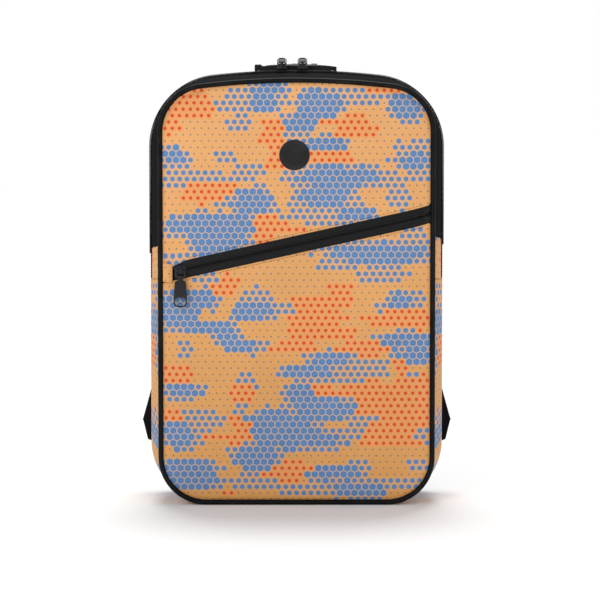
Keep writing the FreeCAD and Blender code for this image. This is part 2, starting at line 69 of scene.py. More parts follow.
FRONT_SEAM_Y, ZIP_Y, BACK_SEAM_Y = -48.8, -24.0, 48.6
FRONT_FACE = -56.0
FOLD_Z = 229.0
STRIP_ENDS = {-1: 258.0, 1: 267.0}
TAPE_BACK = -10.0
EASE_Y = -12.0          # behind this depth the walls ease in to the back seam
PRINT_FOLD = 420.0      # run at which the walls' print folds back on itself
PANEL_EDGE_Y = -51.6    # front cloth where it meets the piping
EDGE_ROLL, FRONT_FILL = 4.2, 2.2
PIPING_R = 2.6

# Slanted pocket zip: centre line, in the plane of the front.
ZIP_LEFT, ZIP_RIGHT = Vector((-113.0, 240.0)), Vector((135.5, 295.0))
ZIP_ALONG = (ZIP_RIGHT - ZIP_LEFT).normalized()
ZIP_UP = Vector((-ZIP_ALONG.y, ZIP_ALONG.x))
ZIP_HALF = 8.8

STRAP_TOP, STRAP_FOOT = Vector((70.0, 55.3, 388.0)), Vector((154.0, 55.3, 64.0))


# ---------------------------------------------------------------- outlines

def rim_segments(s):
    """Half of a section's outline from the middle of the base to the crown, as (length, point function)."""
    centre = s.top - s.arch
    side = s.half - s.corner
    rise = math.sqrt((s.arch - s.corner) ** 2 - side ** 2)
    lean = math.atan2(rise, side)
    foot_x, foot_z = s.half - s.foot, s.bottom + s.foot
    corner_z = centre + rise
    crown = math.pi / 2 - lean

    def base(f):
        return foot_x * f, s.bottom

    def foot(f):
        a = -math.pi / 2 + f * math.pi / 2
        return foot_x + s.foot * math.cos(a), foot_z + s.foot * math.sin(a)

    def upright(f):
        return s.half, foot_z + (corner_z - foot_z) * f

    def corner(f):
        a = f * lean
        return side + s.corner * math.cos(a), corner_z + s.corner * math.sin(a)

    def arch(f):
        a = lean + f * crown
        return s.arch * math.cos(a), centre + s.arch * math.sin(a)

    return [(foot_x, base), (s.foot * math.pi / 2, foot), (corner_z - foot_z, upright),
            (s.corner * lean, corner), (s.arch * crown, arch)]


REFERENCE = [length for length, _ in rim_segments(FULLEST)]
HALF_RUN = sum(REFERENCE)


def rim(section, run):
    """The outline's point at a run in mm from the middle of the base, positive to the right."""
    run = (run + HALF_RUN) % (2 * HALF_RUN) - HALF_RUN
    left = abs(run)
    for length, (_, point) in zip(REFERENCE, rim_segments(section)):
        if left <= length + 1e-6:
            break
        left -= length
    x, z = point(min(left / length, 1.0))
    return (math.copysign(x, run) if run else x), z


def run_at(z):
    """The run up the right side at a height."""
    return REFERENCE[0] + REFERENCE[1] + (z - FULLEST.bottom - FULLEST.foot)


def blend_sections(a, b, f):
    return Section(*(p + (q - p) * f for p, q in zip(a, b)))


def inset(s, d, least=1.0):
    return Section(s.half - d, s.bottom + d, s.top - d, max(s.corner - d, least),
                   max(s.foot - d, least), s.arch - d)


def wall_section(y, out=0.0):
    """The bag's outline at a depth: it swells from the front seam to the zip and eases in to the back."""
    if y < ZIP_Y:
        f = (y - FRONT_SEAM_Y) / (ZIP_Y - FRONT_SEAM_Y)
        s = blend_sections(FRONT_SEAM, FULLEST, f * (1.25 - 0.25 * f))
    else:
        f = max(0.0, (y - EASE_Y) / (BACK_SEAM_Y - EASE_Y))
        s = blend_sections(FULLEST, BACK_SEAM, f * f)
    return s._replace(half=s.half + out, top=s.top + out, bottom=s.bottom - min(out, 0.0))


# ---------------------------------------------------------------- mesh helpers

def linked(name, mesh):
    obj = bpy.data.objects.new(name, mesh)
    bpy.context.scene.collection.objects.link(obj)
    return obj


def to_piece(name, bm, material, smooth=True, sharp=None):
    """A finished mesh object from a bmesh whose points are in millimetres."""
    bmesh.ops.scale(bm, vec=(MM, MM, MM), verts=bm.verts)
    mesh = bpy.data.meshes.new(name)
    bm.to_mesh(mesh)
    bm.free()
    mesh.polygons.foreach_set("use_smooth", [smooth] * len(mesh.polygons))
    if sharp:
        mesh.set_sharp_from_angle(angle=math.radians(sharp))
    mesh.materials.append(material)
    return linked(name, mesh)


def sheet_mesh(across, along, place, cloth_uv=None, close=False):
    """A grid whose points (u, v), each from 0 to 1, are carried to place(u, v) in millimetres."""
    bm = bmesh.new()
    bmesh.ops.create_grid(bm, x_segments=across, y_segments=along, size=0.5)
    layer = bm.loops.layers.uv.new("cloth")
    for face in bm.faces:
        for loop in face.loops:
            u, v = loop.vert.co.x + 0.5, loop.vert.co.y + 0.5
            loop[layer].uv = cloth_uv(u, v) if cloth_uv else (u, v)
    for vert in bm.verts:
        vert.co = place(vert.co.x + 0.5, vert.co.y + 0.5)
    if close:
        bmesh.ops.remove_doubles(bm, verts=bm.verts, dist=0.01)
    return bm


def flat_uv(bm):
    """Cloth coordinates in metres straight from X and Z, as the front's print lies."""
    layer = bm.loops.layers.uv.verify() if not bm.loops.layers.uv else bm.loops.layers.uv[0]
    for face in bm.faces:
        for loop in face.loops:
            loop[layer].uv = (loop.vert.co.x * MM, loop.vert.co.z * MM)


def tube_mesh(around, along, path, radius, closed):
    """A round tube; path(v) gives its centre, and two directions across it."""
    def place(u, v):
        centre, side, up = path(v)
        a = 2 * math.pi * u
        r = radius(v) if callable(radius) else radius
        return centre + side * (r * math.cos(a)) + up * (r * math.sin(a))
    bm = sheet_mesh(around, along, place, close=True)
    if not closed:
        bmesh.ops.holes_fill(bm, edges=bm.edges, sides=around + 1)
    bmesh.ops.recalc_face_normals(bm, faces=bm.faces)
    return bm


def thicken(obj, thickness, offset=-1.0):
    solid = obj.modifiers.new("thickness", "SOLIDIFY")
    solid.thickness = thickness * MM
    solid.offset = offset
    return obj


def dress(obj, body, slot, *nodes):
    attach(obj, body)
    if nodes:
        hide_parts(*nodes)
    return obj


def moulded(node, material, body, slot, edge=0.25, name=None, angle=30):
    """A hard part: its exact shape with the edges softened."""
    bm = bmesh.new()
    bm.from_mesh(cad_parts[node].data)
    bmesh.ops.scale(bm, vec=(1000, 1000, 1000), verts=bm.verts)
    bmesh.ops.remove_doubles(bm, verts=bm.verts, dist=0.004)
    bmesh.ops.dissolve_limit(bm, angle_limit=math.radians(1.0), verts=bm.verts, edges=bm.edges)
    obj = to_piece(name or f"{node}_part", bm, material, sharp=angle)
    if edge:
        soft = obj.modifiers.new("edges", "BEVEL")
        soft.width = edge * MM
        soft.segments = 2
        soft.limit_method = "ANGLE"
        soft.angle_limit = math.radians(angle)
        soft.use_clamp_overlap = True
    return dress(obj, body, slot, node)


def stitches(bm, points, pitch=3.0, length=2.1, radius=0.32):
    """Thread dashes along a run of (point, outward normal) pairs, each sunk a little into the cloth."""
    total = 0.0
    due = pitch / 2
    for (a, na), (b, _) in zip(points, points[1:]):
        step = (b - a).length
        while step > 1e-9 and due <= total + step:
            at = a.lerp(b, (due - total) / step)
            along = (b - a).normalized()
            across = na.cross(along).normalized()
            turn = Matrix((along, across, along.cross(across))).transposed().to_4x4()
            size = Matrix.Diagonal((length / 2, radius, radius * 0.8, 1.0))
            bmesh.ops.create_icosphere(bm, subdivisions=1, radius=1.0,
                                       matrix=Matrix.Translation(at) @ turn @ size)
            due += pitch
        total += step


def stitch_piece(name, runs, material, body, slot, **values):
    bm = bmesh.new()
    for points in runs:
        stitches(bm, points, **values)
    return dress(to_piece(name, bm, material), body, slot)


# ---------------------------------------------------------------- materials

def put(tree, kind, inputs=None, **settings):
    """Adds a node; each input is a value or a socket to link from."""
    node = tree.nodes.new(kind)
    for key, value in settings.items():
        setattr(node, key, value)
    for key, value in (inputs or {}).items():
        if isinstance(value, bpy.types.NodeSocket):
            tree.links.new(value, node.inputs[key])
        else:
            node.inputs[key].default_value = value
    return node


def math_of(tree, operation, a, b=0.0, c=None):
    inputs = {0: a, 1: b}
    if c is not None:
        inputs[2] = c
    return put(tree, "ShaderNodeMath", inputs, operation=operation).outputs[0]


def vector_of(tree, operation, a, b=(0.0, 0.0, 0.0), c=None):
    inputs = {0: a, 1: b}
    if c is not None:
        inputs[2] = c
    node = put(tree, "ShaderNodeVectorMath", inputs, operation=operation)
    return node.outputs["Value" if operation in ("LENGTH", "DOT_PRODUCT") else "Vector"]


def mix_of(tree, factor, a, b):
    return put(tree, "ShaderNodeMix", {0: factor, 6: a, 7: b}, data_type="RGBA").outputs[2]


def group(name, inputs, outputs):
    tree = bpy.data.node_groups.new(name, "ShaderNodeTree")
    for key, kind in inputs:
        tree.interface.new_socket(name=key, in_out="INPUT", socket_type=kind)
    for key, kind in outputs:
        tree.interface.new_socket(name=key, in_out="OUTPUT", socket_type=kind)
    return tree, tree.nodes.new("NodeGroupInput").outputs, tree.nodes.new("NodeGroupOutput").inputs


def placed(tree, source, inputs):
    return put(tree, "ShaderNodeGroup", inputs, node_tree=source).outputs


FLOAT, VECTOR, COLOUR = "NodeSocketFloat", "NodeSocketVector", "NodeSocketColor"

# The print, in millimetres on the front: centre x, centre z, half width, half height of each patch.
HEX_PITCH = 7.35
BLUE_FULL = [
    (-24, 423, 15, 6), (24, 406, 24, 15), (3, 388, 15, 11), (-33, 408, 14, 9), (110, 404, 17, 14),
    (29, 366, 20, 8), (40, 334, 45, 11), (30, 315, 26, 13), (-44, 308, 20, 14), (59, 296, 20, 8),
    (-85, 284, 48, 12), (-78, 268, 30, 10), (-85, 252, 20, 7), (120, 350, 16, 8), (-124, 355, 14, 8),
    (-110, 209, 28, 11), (-118, 194, 20, 13), (-95, 182, 33, 6), (-42, 197, 22, 9), (-70, 174, 13, 11),
    (-58, 163, 16, 7), (112, 168, 28, 9), (120, 153, 20, 8), (14, 136, 28, 8), (3, 111, 15, 13),
    (35, 150, 22, 7), (-117, 117, 20, 8), (-17, 83, 33, 15), (30, 98, 30, 11), (4, 67, 48, 10),
    (-120, 73, 15, 14), (-40, 50, 22, 15), (-110, 37, 28, 10), (-108, 24, 28, 8), (62, 15, 28, 8),
    (38, 33, 30, 8), (84, 256, 50, 11), (104, 209, 12, 8), (-36, 415, 12, 10),
]
BLUE_DOTS = [
    (-40, 412, 30, 14), (57, 415, 38, 9), (-60, 404, 28, 8), (-57, 388, 12, 7), (-4, 374, 16, 5),
    (-95, 330, 43, 8), (-45, 340, 21, 6), (-70, 353, 12, 6), (88, 330, 24, 9), (120, 362, 24, 8),
    (120, 350, 25, 8), (122, 335, 16, 8), (105, 310, 13, 10), (4, 307, 15, 9), (40, 293, 40, 8),
    (-122, 345, 14, 10), (-70, 310, 14, 9), (-60, 290, 30, 8), (-24, 292, 22, 8), (-120, 252, 14, 7),
    (44, 247, 24, 7), (84, 234, 26, 9), (119, 272, 14, 10), (-90, 230, 15, 8), (-41, 212, 15, 9),
    (-27, 199, 28, 8), (-112, 160, 8, 11), (112, 209, 18, 10), (90, 201, 13, 4), (120, 199, 14, 7),
    (-40, 160, 20, 7), (-52, 130, 9, 5), (-44, 121, 10, 4), (-57, 101, 8, 6), (41, 135, 50, 9),
    (74, 143, 22, 8), (112, 123, 11, 15), (64, 93, 24, 11), (64, 73, 15, 8), (-100, 88, 26, 12),
    (-112, 66, 18, 10), (-60, 54, 12, 8), (-27, 40, 20, 10), (-37, 25, 28, 10), (8, 17, 31, 7),
    (100, 22, 30, 7), (64, 40, 13, 6), (126, 68, 10, 10), (124, 42, 10, 8), (-118, 129, 12, 6),
    (-100, 120, 9, 5),
]
RED_DOTS = [
    (-108, 406, 24, 15), (-126, 383, 12, 8), (97, 421, 28, 6), (119, 414, 15, 7), (-17, 385, 19, 6),
    (-24, 371, 12, 13), (-20, 348, 9, 10), (57, 391, 15, 8), (29, 388, 18, 3), (59, 378, 25, 5),
    (34, 353, 28, 7), (-85, 320, 25, 8), (-98, 310, 20, 4), (-22, 282, 30, 6), (-27, 290, 10, 5),
    (-34, 271, 13, 4), (-70, 229, 10, 6), (-77, 220, 18, 6), (44, 219, 13, 7), (24, 207, 30, 8),
    (21, 191, 28, 10), (24, 176, 33, 9), (99, 190, 35, 7), (125, 189, 15, 10), (-2, 161, 28, 6),
    (69, 161, 28, 9), (-120, 133, 15, 11), (-55, 116, 15, 11), (26, 118, 14, 8), (82, 118, 38, 9),
    (94, 103, 33, 12), (117, 108, 20, 22), (112, 88, 25, 11), (94, 75, 25, 10), (79, 64, 13, 4),
    (112, 65, 13, 3), (-57, 85, 10, 10), (-47, 73, 15, 5), (-62, 63, 7, 5), (-77, 70, 18, 5),
    (-4, 43, 13, 4), (-7, 35, 24, 9), (-128, 90, 10, 8), (105, 143, 10, 10), (-68, 11, 8, 4),
    (128, 123, 9, 11),
]


def patch_distance(tree, point, patches):
    """How far a cell lies from the nearest patch's middle, where 1 is that patch's edge."""
    nearest = None
    for x, z, wide, high in patches:
        scaled = vector_of(tree, "MULTIPLY_ADD", point, (1 / wide, 1 / high, 0.0),
                           (-x / wide, -z / high, 0.0))
        reach = vector_of(tree, "LENGTH", scaled)
        nearest = reach if nearest is None else math_of(tree, "MINIMUM", nearest, reach)
    return nearest


def hexagon_print():
    """Camouflage of blue hexagons, blue dots and red dots on tan, one mark to each cell of a hexagon grid."""
    tree, given, result = group("hexagon_print", [("Cloth", VECTOR)], [("Color", COLOUR), ("Ink", FLOAT)])
    at = vector_of(tree, "SCALE", given["Cloth"])
    at.node.inputs["Scale"].default_value = 1000.0
    step = (HEX_PITCH, HEX_PITCH * math.sqrt(3), 1.0)
    half = tuple(c / 2 for c in step[:2]) + (0.0,)
    first = vector_of(tree, "ADD", vector_of(tree, "SNAP", at, step), half)
    second = vector_of(tree, "SNAP", vector_of(tree, "SUBTRACT", at, half), step)
    second = vector_of(tree, "ADD", second, (step[0], step[1], 0.0))
    flat = (1.0, 1.0, 0.0)
    away_first = vector_of(tree, "MULTIPLY", vector_of(tree, "SUBTRACT", at, first), flat)
    away_second = vector_of(tree, "MULTIPLY", vector_of(tree, "SUBTRACT", at, second), flat)
    nearer = math_of(tree, "LESS_THAN", vector_of(tree, "LENGTH", away_second),
                     vector_of(tree, "LENGTH", away_first))
    chosen = []
    for a, b in ((first, second), (away_first, away_second)):
        node = tree.nodes.new("ShaderNodeMix")
        node.data_type = "VECTOR"
        for key, value in ((0, nearer), (4, a), (5, b)):
            tree.links.new(value, node.inputs[key])
        chosen.append(node.outputs[1])
    cell = vector_of(tree, "MULTIPLY", chosen[0], flat)
    away = vector_of(tree, "ABSOLUTE", chosen[1])

    split = put(tree, "ShaderNodeSeparateXYZ", {0: away}).outputs
    slanted = math_of(tree, "ADD", math_of(tree, "MULTIPLY", split[0], 0.5),
                      math_of(tree, "MULTIPLY", split[1], math.sqrt(0.75)))
    hexagon = math_of(tree, "MAXIMUM", split[0], slanted)
    circle = vector_of(tree, "LENGTH", away)
    rounded = math_of(tree, "ADD", math_of(tree, "MULTIPLY", hexagon, 0.6),
                      math_of(tree, "MULTIPLY", circle, 0.37))

    ragged = put(tree, "ShaderNodeTexNoise", {"Vector": cell, "Scale": 0.11, "Detail": 1.0},
                 noise_dimensions="2D").outputs[0]
    single = put(tree, "ShaderNodeTexWhiteNoise", {"Vector": cell}, noise_dimensions="3D").outputs[0]
    stray = math_of(tree, "ADD", math_of(tree, "MULTIPLY_ADD", ragged, 0.5, -0.25),
                    math_of(tree, "MULTIPLY_ADD", single, 0.16, -0.08))

    def inside(patches, edge):
        reach = math_of(tree, "ADD", patch_distance(tree, cell, patches), stray)
        return math_of(tree, "LESS_THAN", reach, edge)

    full = inside(BLUE_FULL, 1.0)
    dots = math_of(tree, "MAXIMUM", inside(BLUE_DOTS, 1.08), inside(BLUE_FULL, 1.3))
    red = math_of(tree, "MULTIPLY", inside(RED_DOTS, 1.08), math_of(tree, "SUBTRACT", 1.0, full))
    dots = math_of(tree, "MULTIPLY", dots, math_of(tree, "SUBTRACT", 1.0, red))
    blue = math_of(tree, "MAXIMUM", full, dots)

    def mark(shape, size, soft=0.18):
        ramp = put(tree, "ShaderNodeMapRange", {0: shape, 1: size - soft, 2: size + soft, 3: 1.0, 4: 0.0})
        return ramp.outputs[0]

    # Painted shade: the tan runs darker towards the bottom of the print and lighter towards its top.
    tan = put(tree, "ShaderNodeMapRange", {0: put(tree, "ShaderNodeSeparateXYZ", {0: at}).outputs[1],
                                           1: 0.0, 2: 430.0}).outputs[0]
    colour = mix_of(tree, tan, TAN_SHADED_LOW, TAN_LIT_HIGH)
    colour = mix_of(tree, math_of(tree, "MULTIPLY", red, 0.7), colour, TAN_WARM)
    lines = math_of(tree, "ADD", math_of(tree, "MULTIPLY", full, 0.62),
                    math_of(tree, "MULTIPLY", dots, 0.22))
    colour = mix_of(tree, lines, colour, PALE_LINE)
    tiny = mark(circle, 0.84, 0.2)
    colour = mix_of(tree, math_of(tree, "MULTIPLY", tiny, 0.9), colour, DOT_GREY)
    in_red = math_of(tree, "MULTIPLY", red, mark(rounded, 1.72))
    colour = mix_of(tree, in_red, colour, RED_INK)
    in_dots = math_of(tree, "MULTIPLY", dots, mark(rounded, 2.35))
    in_full = math_of(tree, "MULTIPLY", full, mark(hexagon, 3.22, 0.22))
    ink = math_of(tree, "MAXIMUM", in_dots, in_full)
    shade = put(tree, "ShaderNodeMapRange", {0: single, 3: 0.0, 4: 0.35}).outputs[0]
    blue_ink = mix_of(tree, shade, BLUE_INK, BLUE_DEEP)
    colour = mix_of(tree, ink, colour, blue_ink)
    tree.links.new(colour, result["Color"])
    tree.links.new(math_of(tree, "MAXIMUM", ink, in_red), result["Ink"])
    return tree, blue


def linear(hexcode):
    """An sRGB hex colour as linear RGBA."""
    channels = [int(hexcode[i:i + 2], 16) / 255 for i in (0, 2, 4)]
    return tuple(c / 12.92 if c <= 0.04045 else ((c + 0.055) / 1.055) ** 2.4 for c in channels) + (1.0,)


# The two tans carry the print's painted shade, darker low and lighter high.
TAN_SHADED_LOW, TAN_LIT_HIGH, TAN_WARM = linear("D29755"), linear("DEA368"), linear("E2945A")
DOT_GREY, RED_INK = linear("6F6A78"), linear("CE4A1C")
BLUE_INK, BLUE_DEEP = linear("5A80AF"), linear("4C729F")
PALE_LINE = linear("C0AC9F")
PRINT, _ = hexagon_print()


def weave_group():
    """Crossing threads: height and a painted shade, darker where the threads sink, at a pitch in metres."""
    tree, given, result = group("weave", [("Vector", VECTOR), ("Pitch", FLOAT)],
                                [("Height", FLOAT), ("Shade", FLOAT)])
    scale = math_of(tree, "DIVIDE", math.pi, given["Pitch"])
    node = vector_of(tree, "SCALE", given["Vector"])
    tree.links.new(scale, node.node.inputs["Scale"])
    split = put(tree, "ShaderNodeSeparateXYZ", {0: node}).outputs
    waves = [math_of(tree, "SINE", axis) for axis in split[:3]]
    pair = math_of(tree, "MULTIPLY", waves[0], math_of(tree, "ADD", waves[1], waves[2]))
    height = math_of(tree, "MULTIPLY_ADD", pair, 0.5, 0.5)
    tree.links.new(height, result["Height"])
    tree.links.new(height, result["Shade"])
    return tree


def mottle_group():
    """Slow unevenness of dye and handling: a factor about 0.5, and a fine grain."""
    tree, given, result = group("mottle", [("Vector", VECTOR), ("Size", FLOAT)],
                                [("Slow", FLOAT), ("Grain", FLOAT)])
    scale = math_of(tree, "DIVIDE", 1.0, given["Size"])
    slow = put(tree, "ShaderNodeTexNoise", {"Vector": given["Vector"], "Scale": scale, "Detail": 3.0})
    fine = put(tree, "ShaderNodeTexNoise", {"Vector": given["Vector"], "Detail": 4.0,
                                            "Scale": math_of(tree, "MULTIPLY", scale, 22.0)})
    tree.links.new(slow.outputs[0], result["Slow"])
    tree.links.new(fine.outputs[0], result["Grain"])
    return tree


def mesh_group():
    """Open spacer mesh: rows of small holes, as a mask that is 1 on the yarn, at a pitch in metres."""
    tree, given, result = group("mesh_holes", [("Vector", VECTOR), ("Pitch", FLOAT)], [("Yarn", FLOAT)])
    scale = math_of(tree, "DIVIDE", 1.0, given["Pitch"])
    cells = put(tree, "ShaderNodeTexVoronoi", {"Vector": given["Vector"], "Scale": scale, "Randomness": 0.12},
                feature="F1")
    mask = put(tree, "ShaderNodeMapRange", {0: cells.outputs["Distance"], 1: 0.18, 2: 0.42})
    tree.links.new(mask.outputs[0], result["Yarn"])
    return tree


WEAVE, MOTTLE, MESH = weave_group(), mottle_group(), mesh_group()


def finish_of(name, roughness, metallic=0.0, sheen=0.0, coat=0.0, specular=0.5):
    """A new material with its shader's roughness, metal, sheen, coat and specular set."""
    material = bpy.data.materials.new(name)
    material.use_nodes = True
    tree = material.node_tree
    shader = tree.nodes["Principled BSDF"]
    shader.inputs["Roughness"].default_value = roughness
    shader.inputs["Metallic"].default_value = metallic
    shader.inputs["Sheen Weight"].default_value = sheen
    shader.inputs["Sheen Roughness"].default_value = 0.5
    shader.inputs["Coat Weight"].default_value = coat
    shader.inputs["Coat Roughness"].default_value = 0.25
    shader.inputs["Specular IOR Level"].default_value = specular
    return material, tree, shader


def relief(tree, shader, height, distance, strength=1.0, under=None):
    inputs = {"Height": height, "Distance": distance, "Strength": strength}
    if under is not None:
        inputs["Normal"] = under
    bump = put(tree, "ShaderNodeBump", inputs)
    tree.links.new(bump.outputs[0], shader.inputs["Normal"])
    return bump.outputs[0]


def roughness_between(tree, shader, factor, low, high):
    spread = put(tree, "ShaderNodeMapRange", {0: factor, 1: 0.25, 2: 0.75, 3: low, 4: high})
    tree.links.new(spread.outputs[0], shader.inputs["Roughness"])


def object_place(tree):
    return tree.nodes.new("ShaderNodeTexCoord").outputs["Object"]


def cloth_place(tree):
    return put(tree, "ShaderNodeUVMap", uv_map="cloth").outputs[0]


def printed_cloth():
    material, tree, shader = finish_of("printed_cloth", 0.6, sheen=0.05, specular=0.25)
    cloth, place = cloth_place(tree), object_place(tree)
    printed = placed(tree, PRINT, {"Cloth": cloth})
    weave = placed(tree, WEAVE, {"Vector": cloth, "Pitch": 0.00055})
    mottle = placed(tree, MOTTLE, {"Vector": place, "Size": 0.09})
    # Painted shade: the print darkens where the weave's threads sink.
    shade = put(tree, "ShaderNodeMapRange", {0: weave["Shade"], 3: 0.93, 4: 1.04}).outputs[0]
    slow = put(tree, "ShaderNodeMapRange", {0: mottle["Slow"], 1: 0.3, 2: 0.7, 3: 0.94, 4: 1.04}).outputs[0]
    value = math_of(tree, "MULTIPLY", shade, slow)
    tone = put(tree, "ShaderNodeHueSaturation", {"Color": printed["Color"], "Value": value})
    tree.links.new(tone.outputs[0], shader.inputs["Base Color"])
    roughness_between(tree, shader, mottle["Grain"], 0.52, 0.68)
    fine = relief(tree, shader, weave["Height"], 0.00012, 0.55)
    relief(tree, shader, mottle["Slow"], 0.004, 0.25, fine)
    return material


def black_cloth(name, colour, roughness, pitch, depth, sheen=0.0, specular=0.4, uv=False, spread=0.08,
                ribs=None):
    """Black cloths differ in yarn, depth of weave and shine."""
    material, tree, shader = finish_of(name, roughness, sheen=sheen, specular=specular)
    place = object_place(tree)
    source = cloth_place(tree) if uv else place
    weave = placed(tree, WEAVE, {"Vector": source, "Pitch": pitch})
    mottle = placed(tree, MOTTLE, {"Vector": place, "Size": 0.05})
    # Painted shade mixed with random dye: the colour darkens to a deeper tone where the weave's threads sink
    # and where the slow mottle is low.
    slow = math_of(tree, "MULTIPLY", mottle["Slow"], 0.5)
    factor = math_of(tree, "MULTIPLY_ADD", weave["Shade"], 0.6, slow)
    shade_and_dye_tone = tuple(c * 0.55 for c in colour[:3]) + (1.0,)
    tree.links.new(mix_of(tree, factor, shade_and_dye_tone, colour), shader.inputs["Base Color"])
    roughness_between(tree, shader, mottle["Grain"], roughness - spread, roughness + spread)
    height = weave["Height"]
    if ribs:
        lines = put(tree, "ShaderNodeTexWave", {"Vector": source, "Scale": ribs, "Distortion": 0.0},
                    bands_direction="X").outputs[1]
        height = math_of(tree, "ADD", height, math_of(tree, "MULTIPLY", lines, 1.5))
    relief(tree, shader, height, depth, 0.8)
    return material


def mesh_cloth():
    material, tree, shader = finish_of("spacer_mesh", 0.82, sheen=0.05, specular=0.18)
    place = object_place(tree)
    holes = placed(tree, MESH, {"Vector": place, "Pitch": 0.0034})
    weave = placed(tree, WEAVE, {"Vector": place, "Pitch": 0.0006})
    # Painted shade: the holes are coloured darker than the yarn around them.
    yarn = mix_of(tree, holes["Yarn"], linear("040405"), linear("1E1E21"))
    tree.links.new(yarn, shader.inputs["Base Color"])
    roughness_between(tree, shader, weave["Shade"], 0.72, 0.9)
    fine = relief(tree, shader, weave["Height"], 0.00015, 0.5)
    relief(tree, shader, holes["Yarn"], 0.0009, 0.9, fine)
    return material


def moulded_finish(name, colour, low, high, metallic=0.0, grain=0.00004, coat=0.0, scratch=False,
                   specular=0.15):
    material, tree, shader = finish_of(name, (low + high) / 2, metallic=metallic, coat=coat,
                                       specular=specular)
    place = object_place(tree)
    mottle = placed(tree, MOTTLE, {"Vector": place, "Size": 0.012})
    worn = tuple(min(1.0, c * 2.2 + 0.01) for c in colour[:3]) + (1.0,)
    factor = put(tree, "ShaderNodeMapRange", {0: mottle["Slow"], 1: 0.45, 2: 0.8, 3: 0.0, 4: 0.5}).outputs[0]
    tree.links.new(mix_of(tree, factor, colour, worn), shader.inputs["Base Color"])
    roughness_between(tree, shader, mottle["Grain"], low, high)
    height = mottle["Grain"]
    if scratch:
        drawn = vector_of(tree, "MULTIPLY", place, (1.0, 1.0, 0.06))
        lines = put(tree, "ShaderNodeTexNoise", {"Vector": drawn, "Scale": 900.0}).outputs[0]
        height = math_of(tree, "ADD", height, lines)
    relief(tree, shader, height, grain, 0.6)
    return material


CLOTH = printed_cloth()
TAPE = black_cloth("coated_tape", linear("1B1B1D"), 0.7, 0.0005, 0.00006, specular=0.02, spread=0.1)
ZIP_TAPE = black_cloth("waterproof_tape", linear("08080A"), 0.32, 0.0007, 0.00005, specular=0.2, spread=0.08)
LINING = black_cloth("lining_cloth", linear("26262A"), 0.55, 0.0022, 0.0001, sheen=0.04, specular=0.3)
CANVAS = black_cloth("black_canvas", linear("141416"), 0.78, 0.0008, 0.0002, sheen=0.02, specular=0.06)
WEBBING = black_cloth("webbing", linear("151517"), 0.72, 0.0011, 0.0003, sheen=0.02, specular=0.06)
BINDING = black_cloth("edge_binding", linear("111113"), 0.7, 0.0009, 0.00025, sheen=0.02, specular=0.06)
SPACER = mesh_cloth()
VINYL = moulded_finish("piping_vinyl", linear("101011"), 0.4, 0.55, grain=0.00008, specular=0.08)
COIL = moulded_finish("zip_coil", linear("1A1A1C"), 0.28, 0.4, specular=0.3)
THREAD = moulded_finish("black_thread", linear("0F0F10"), 0.6, 0.75, specular=0.08)
METAL = moulded_finish("black_metal", linear("2A2A2D"), 0.2, 0.34, metallic=0.85, grain=0.00002, coat=0.15,
                       scratch=True)
RUBBER = moulded_finish("black_rubber", linear("161618"), 0.42, 0.58, specular=0.22)
LOCK = moulded_finish("lock_plastic", linear("151517"), 0.34, 0.48, grain=0.00006)
BUCKLE = moulded_finish("buckle_plastic", linear("151517"), 0.28, 0.4, grain=0.00005)
BOARD = moulded_finish("board", linear("3A3A3A"), 0.5, 0.6)


# ---------------------------------------------------------------- front

def edge_distance(x, z):
    """About how far a point of the front lies inside the panel's outline, in mm."""
    s = PANEL
    sides = min(s.half - abs(x), z - s.bottom, s.top - z - x * x / (2 * s.arch))
    cx, cz = s.half - s.corner, s.top - s.corner - 8.0
    if abs(x) > cx and z > cz:
        sides = min(sides, s.corner - math.hypot(abs(x) - cx, z - cz))
    fx, fz = s.half - s.foot, s.bottom + s.foot
    if abs(x) > fx and z < fz:
        sides = min(sides, s.foot - math.hypot(abs(x) - fx, fz - z))
    return max(sides, 0.0)


def zip_distance(x, z):
    """Signed distance above the pocket zip's centre line."""
    return (Vector((x, z)) - ZIP_LEFT).dot(ZIP_UP)


def zip_pull_up(x):
    """How far the zip's right end is drawn up towards the piping."""
    return 1.2 * max(0.0, (x - 112.0) / 23.0) ** 2


def zip_taper(x):
    """How far the band's upper edge is folded down at its left end."""
    return 4.2 * min(1.0, max(0.0, (-111.0 - x) / 15.0))


def ripple(x, z):
    """Soft unevenness of a foam-backed cloth, from 0 to 1."""
    return 0.5 + 0.2 * math.sin(x * 0.031 + 1.3) * math.cos(z * 0.024) + 0.15 * math.sin(
        x * 0.052 - z * 0.037) + 0.15 * math.sin(z * 0.061 + 2.0) * math.cos(x * 0.043)


def front_depth(x, z, edge):
    """Y of the front cloth: rolled edges, a filled middle, small puckers at the piping."""
    roll = 1.0 - math.exp(-edge / 3.2)
    fill = 1.0 - math.exp(-edge / 34.0)
    near = abs(abs(zip_distance(x, z)) - ZIP_HALF)
    clear = 1.0 - math.exp(-(near / 26.0) ** 2) if abs(zip_distance(x, z)) > ZIP_HALF else 0.0
    pucker = 0.45 * math.exp(-edge / 7.0) * math.sin((x - z) * 0.31 + 1.7 * math.sin((x + z) * 0.05))
    filled = FRONT_FILL * fill * clear * (0.55 + 0.45 * ripple(x, z))
    return PANEL_EDGE_Y - EDGE_ROLL * roll - filled + pucker * roll


INSETS = [0.0, 0.5, 1.2, 2.1, 3.2, 4.6, 6.4, 9.0, 12.5, 17.0, 23.0, 30.0, 38.0, 47.0, 57.0, 68.0, 80.0,
          93.0, 107.0, 121.0, 132.0]


def fill_middle(bm):
    """Closes the narrow slot that is left inside the last of a sheet's rings."""
    inner = [e for e in bm.edges if e.is_boundary and abs(e.verts[0].co.x) < 8]
    bmesh.ops.holes_fill(bm, edges=inner, sides=0)
    bmesh.ops.triangulate(bm, faces=[f for f in bm.faces if len(f.verts) > 4])


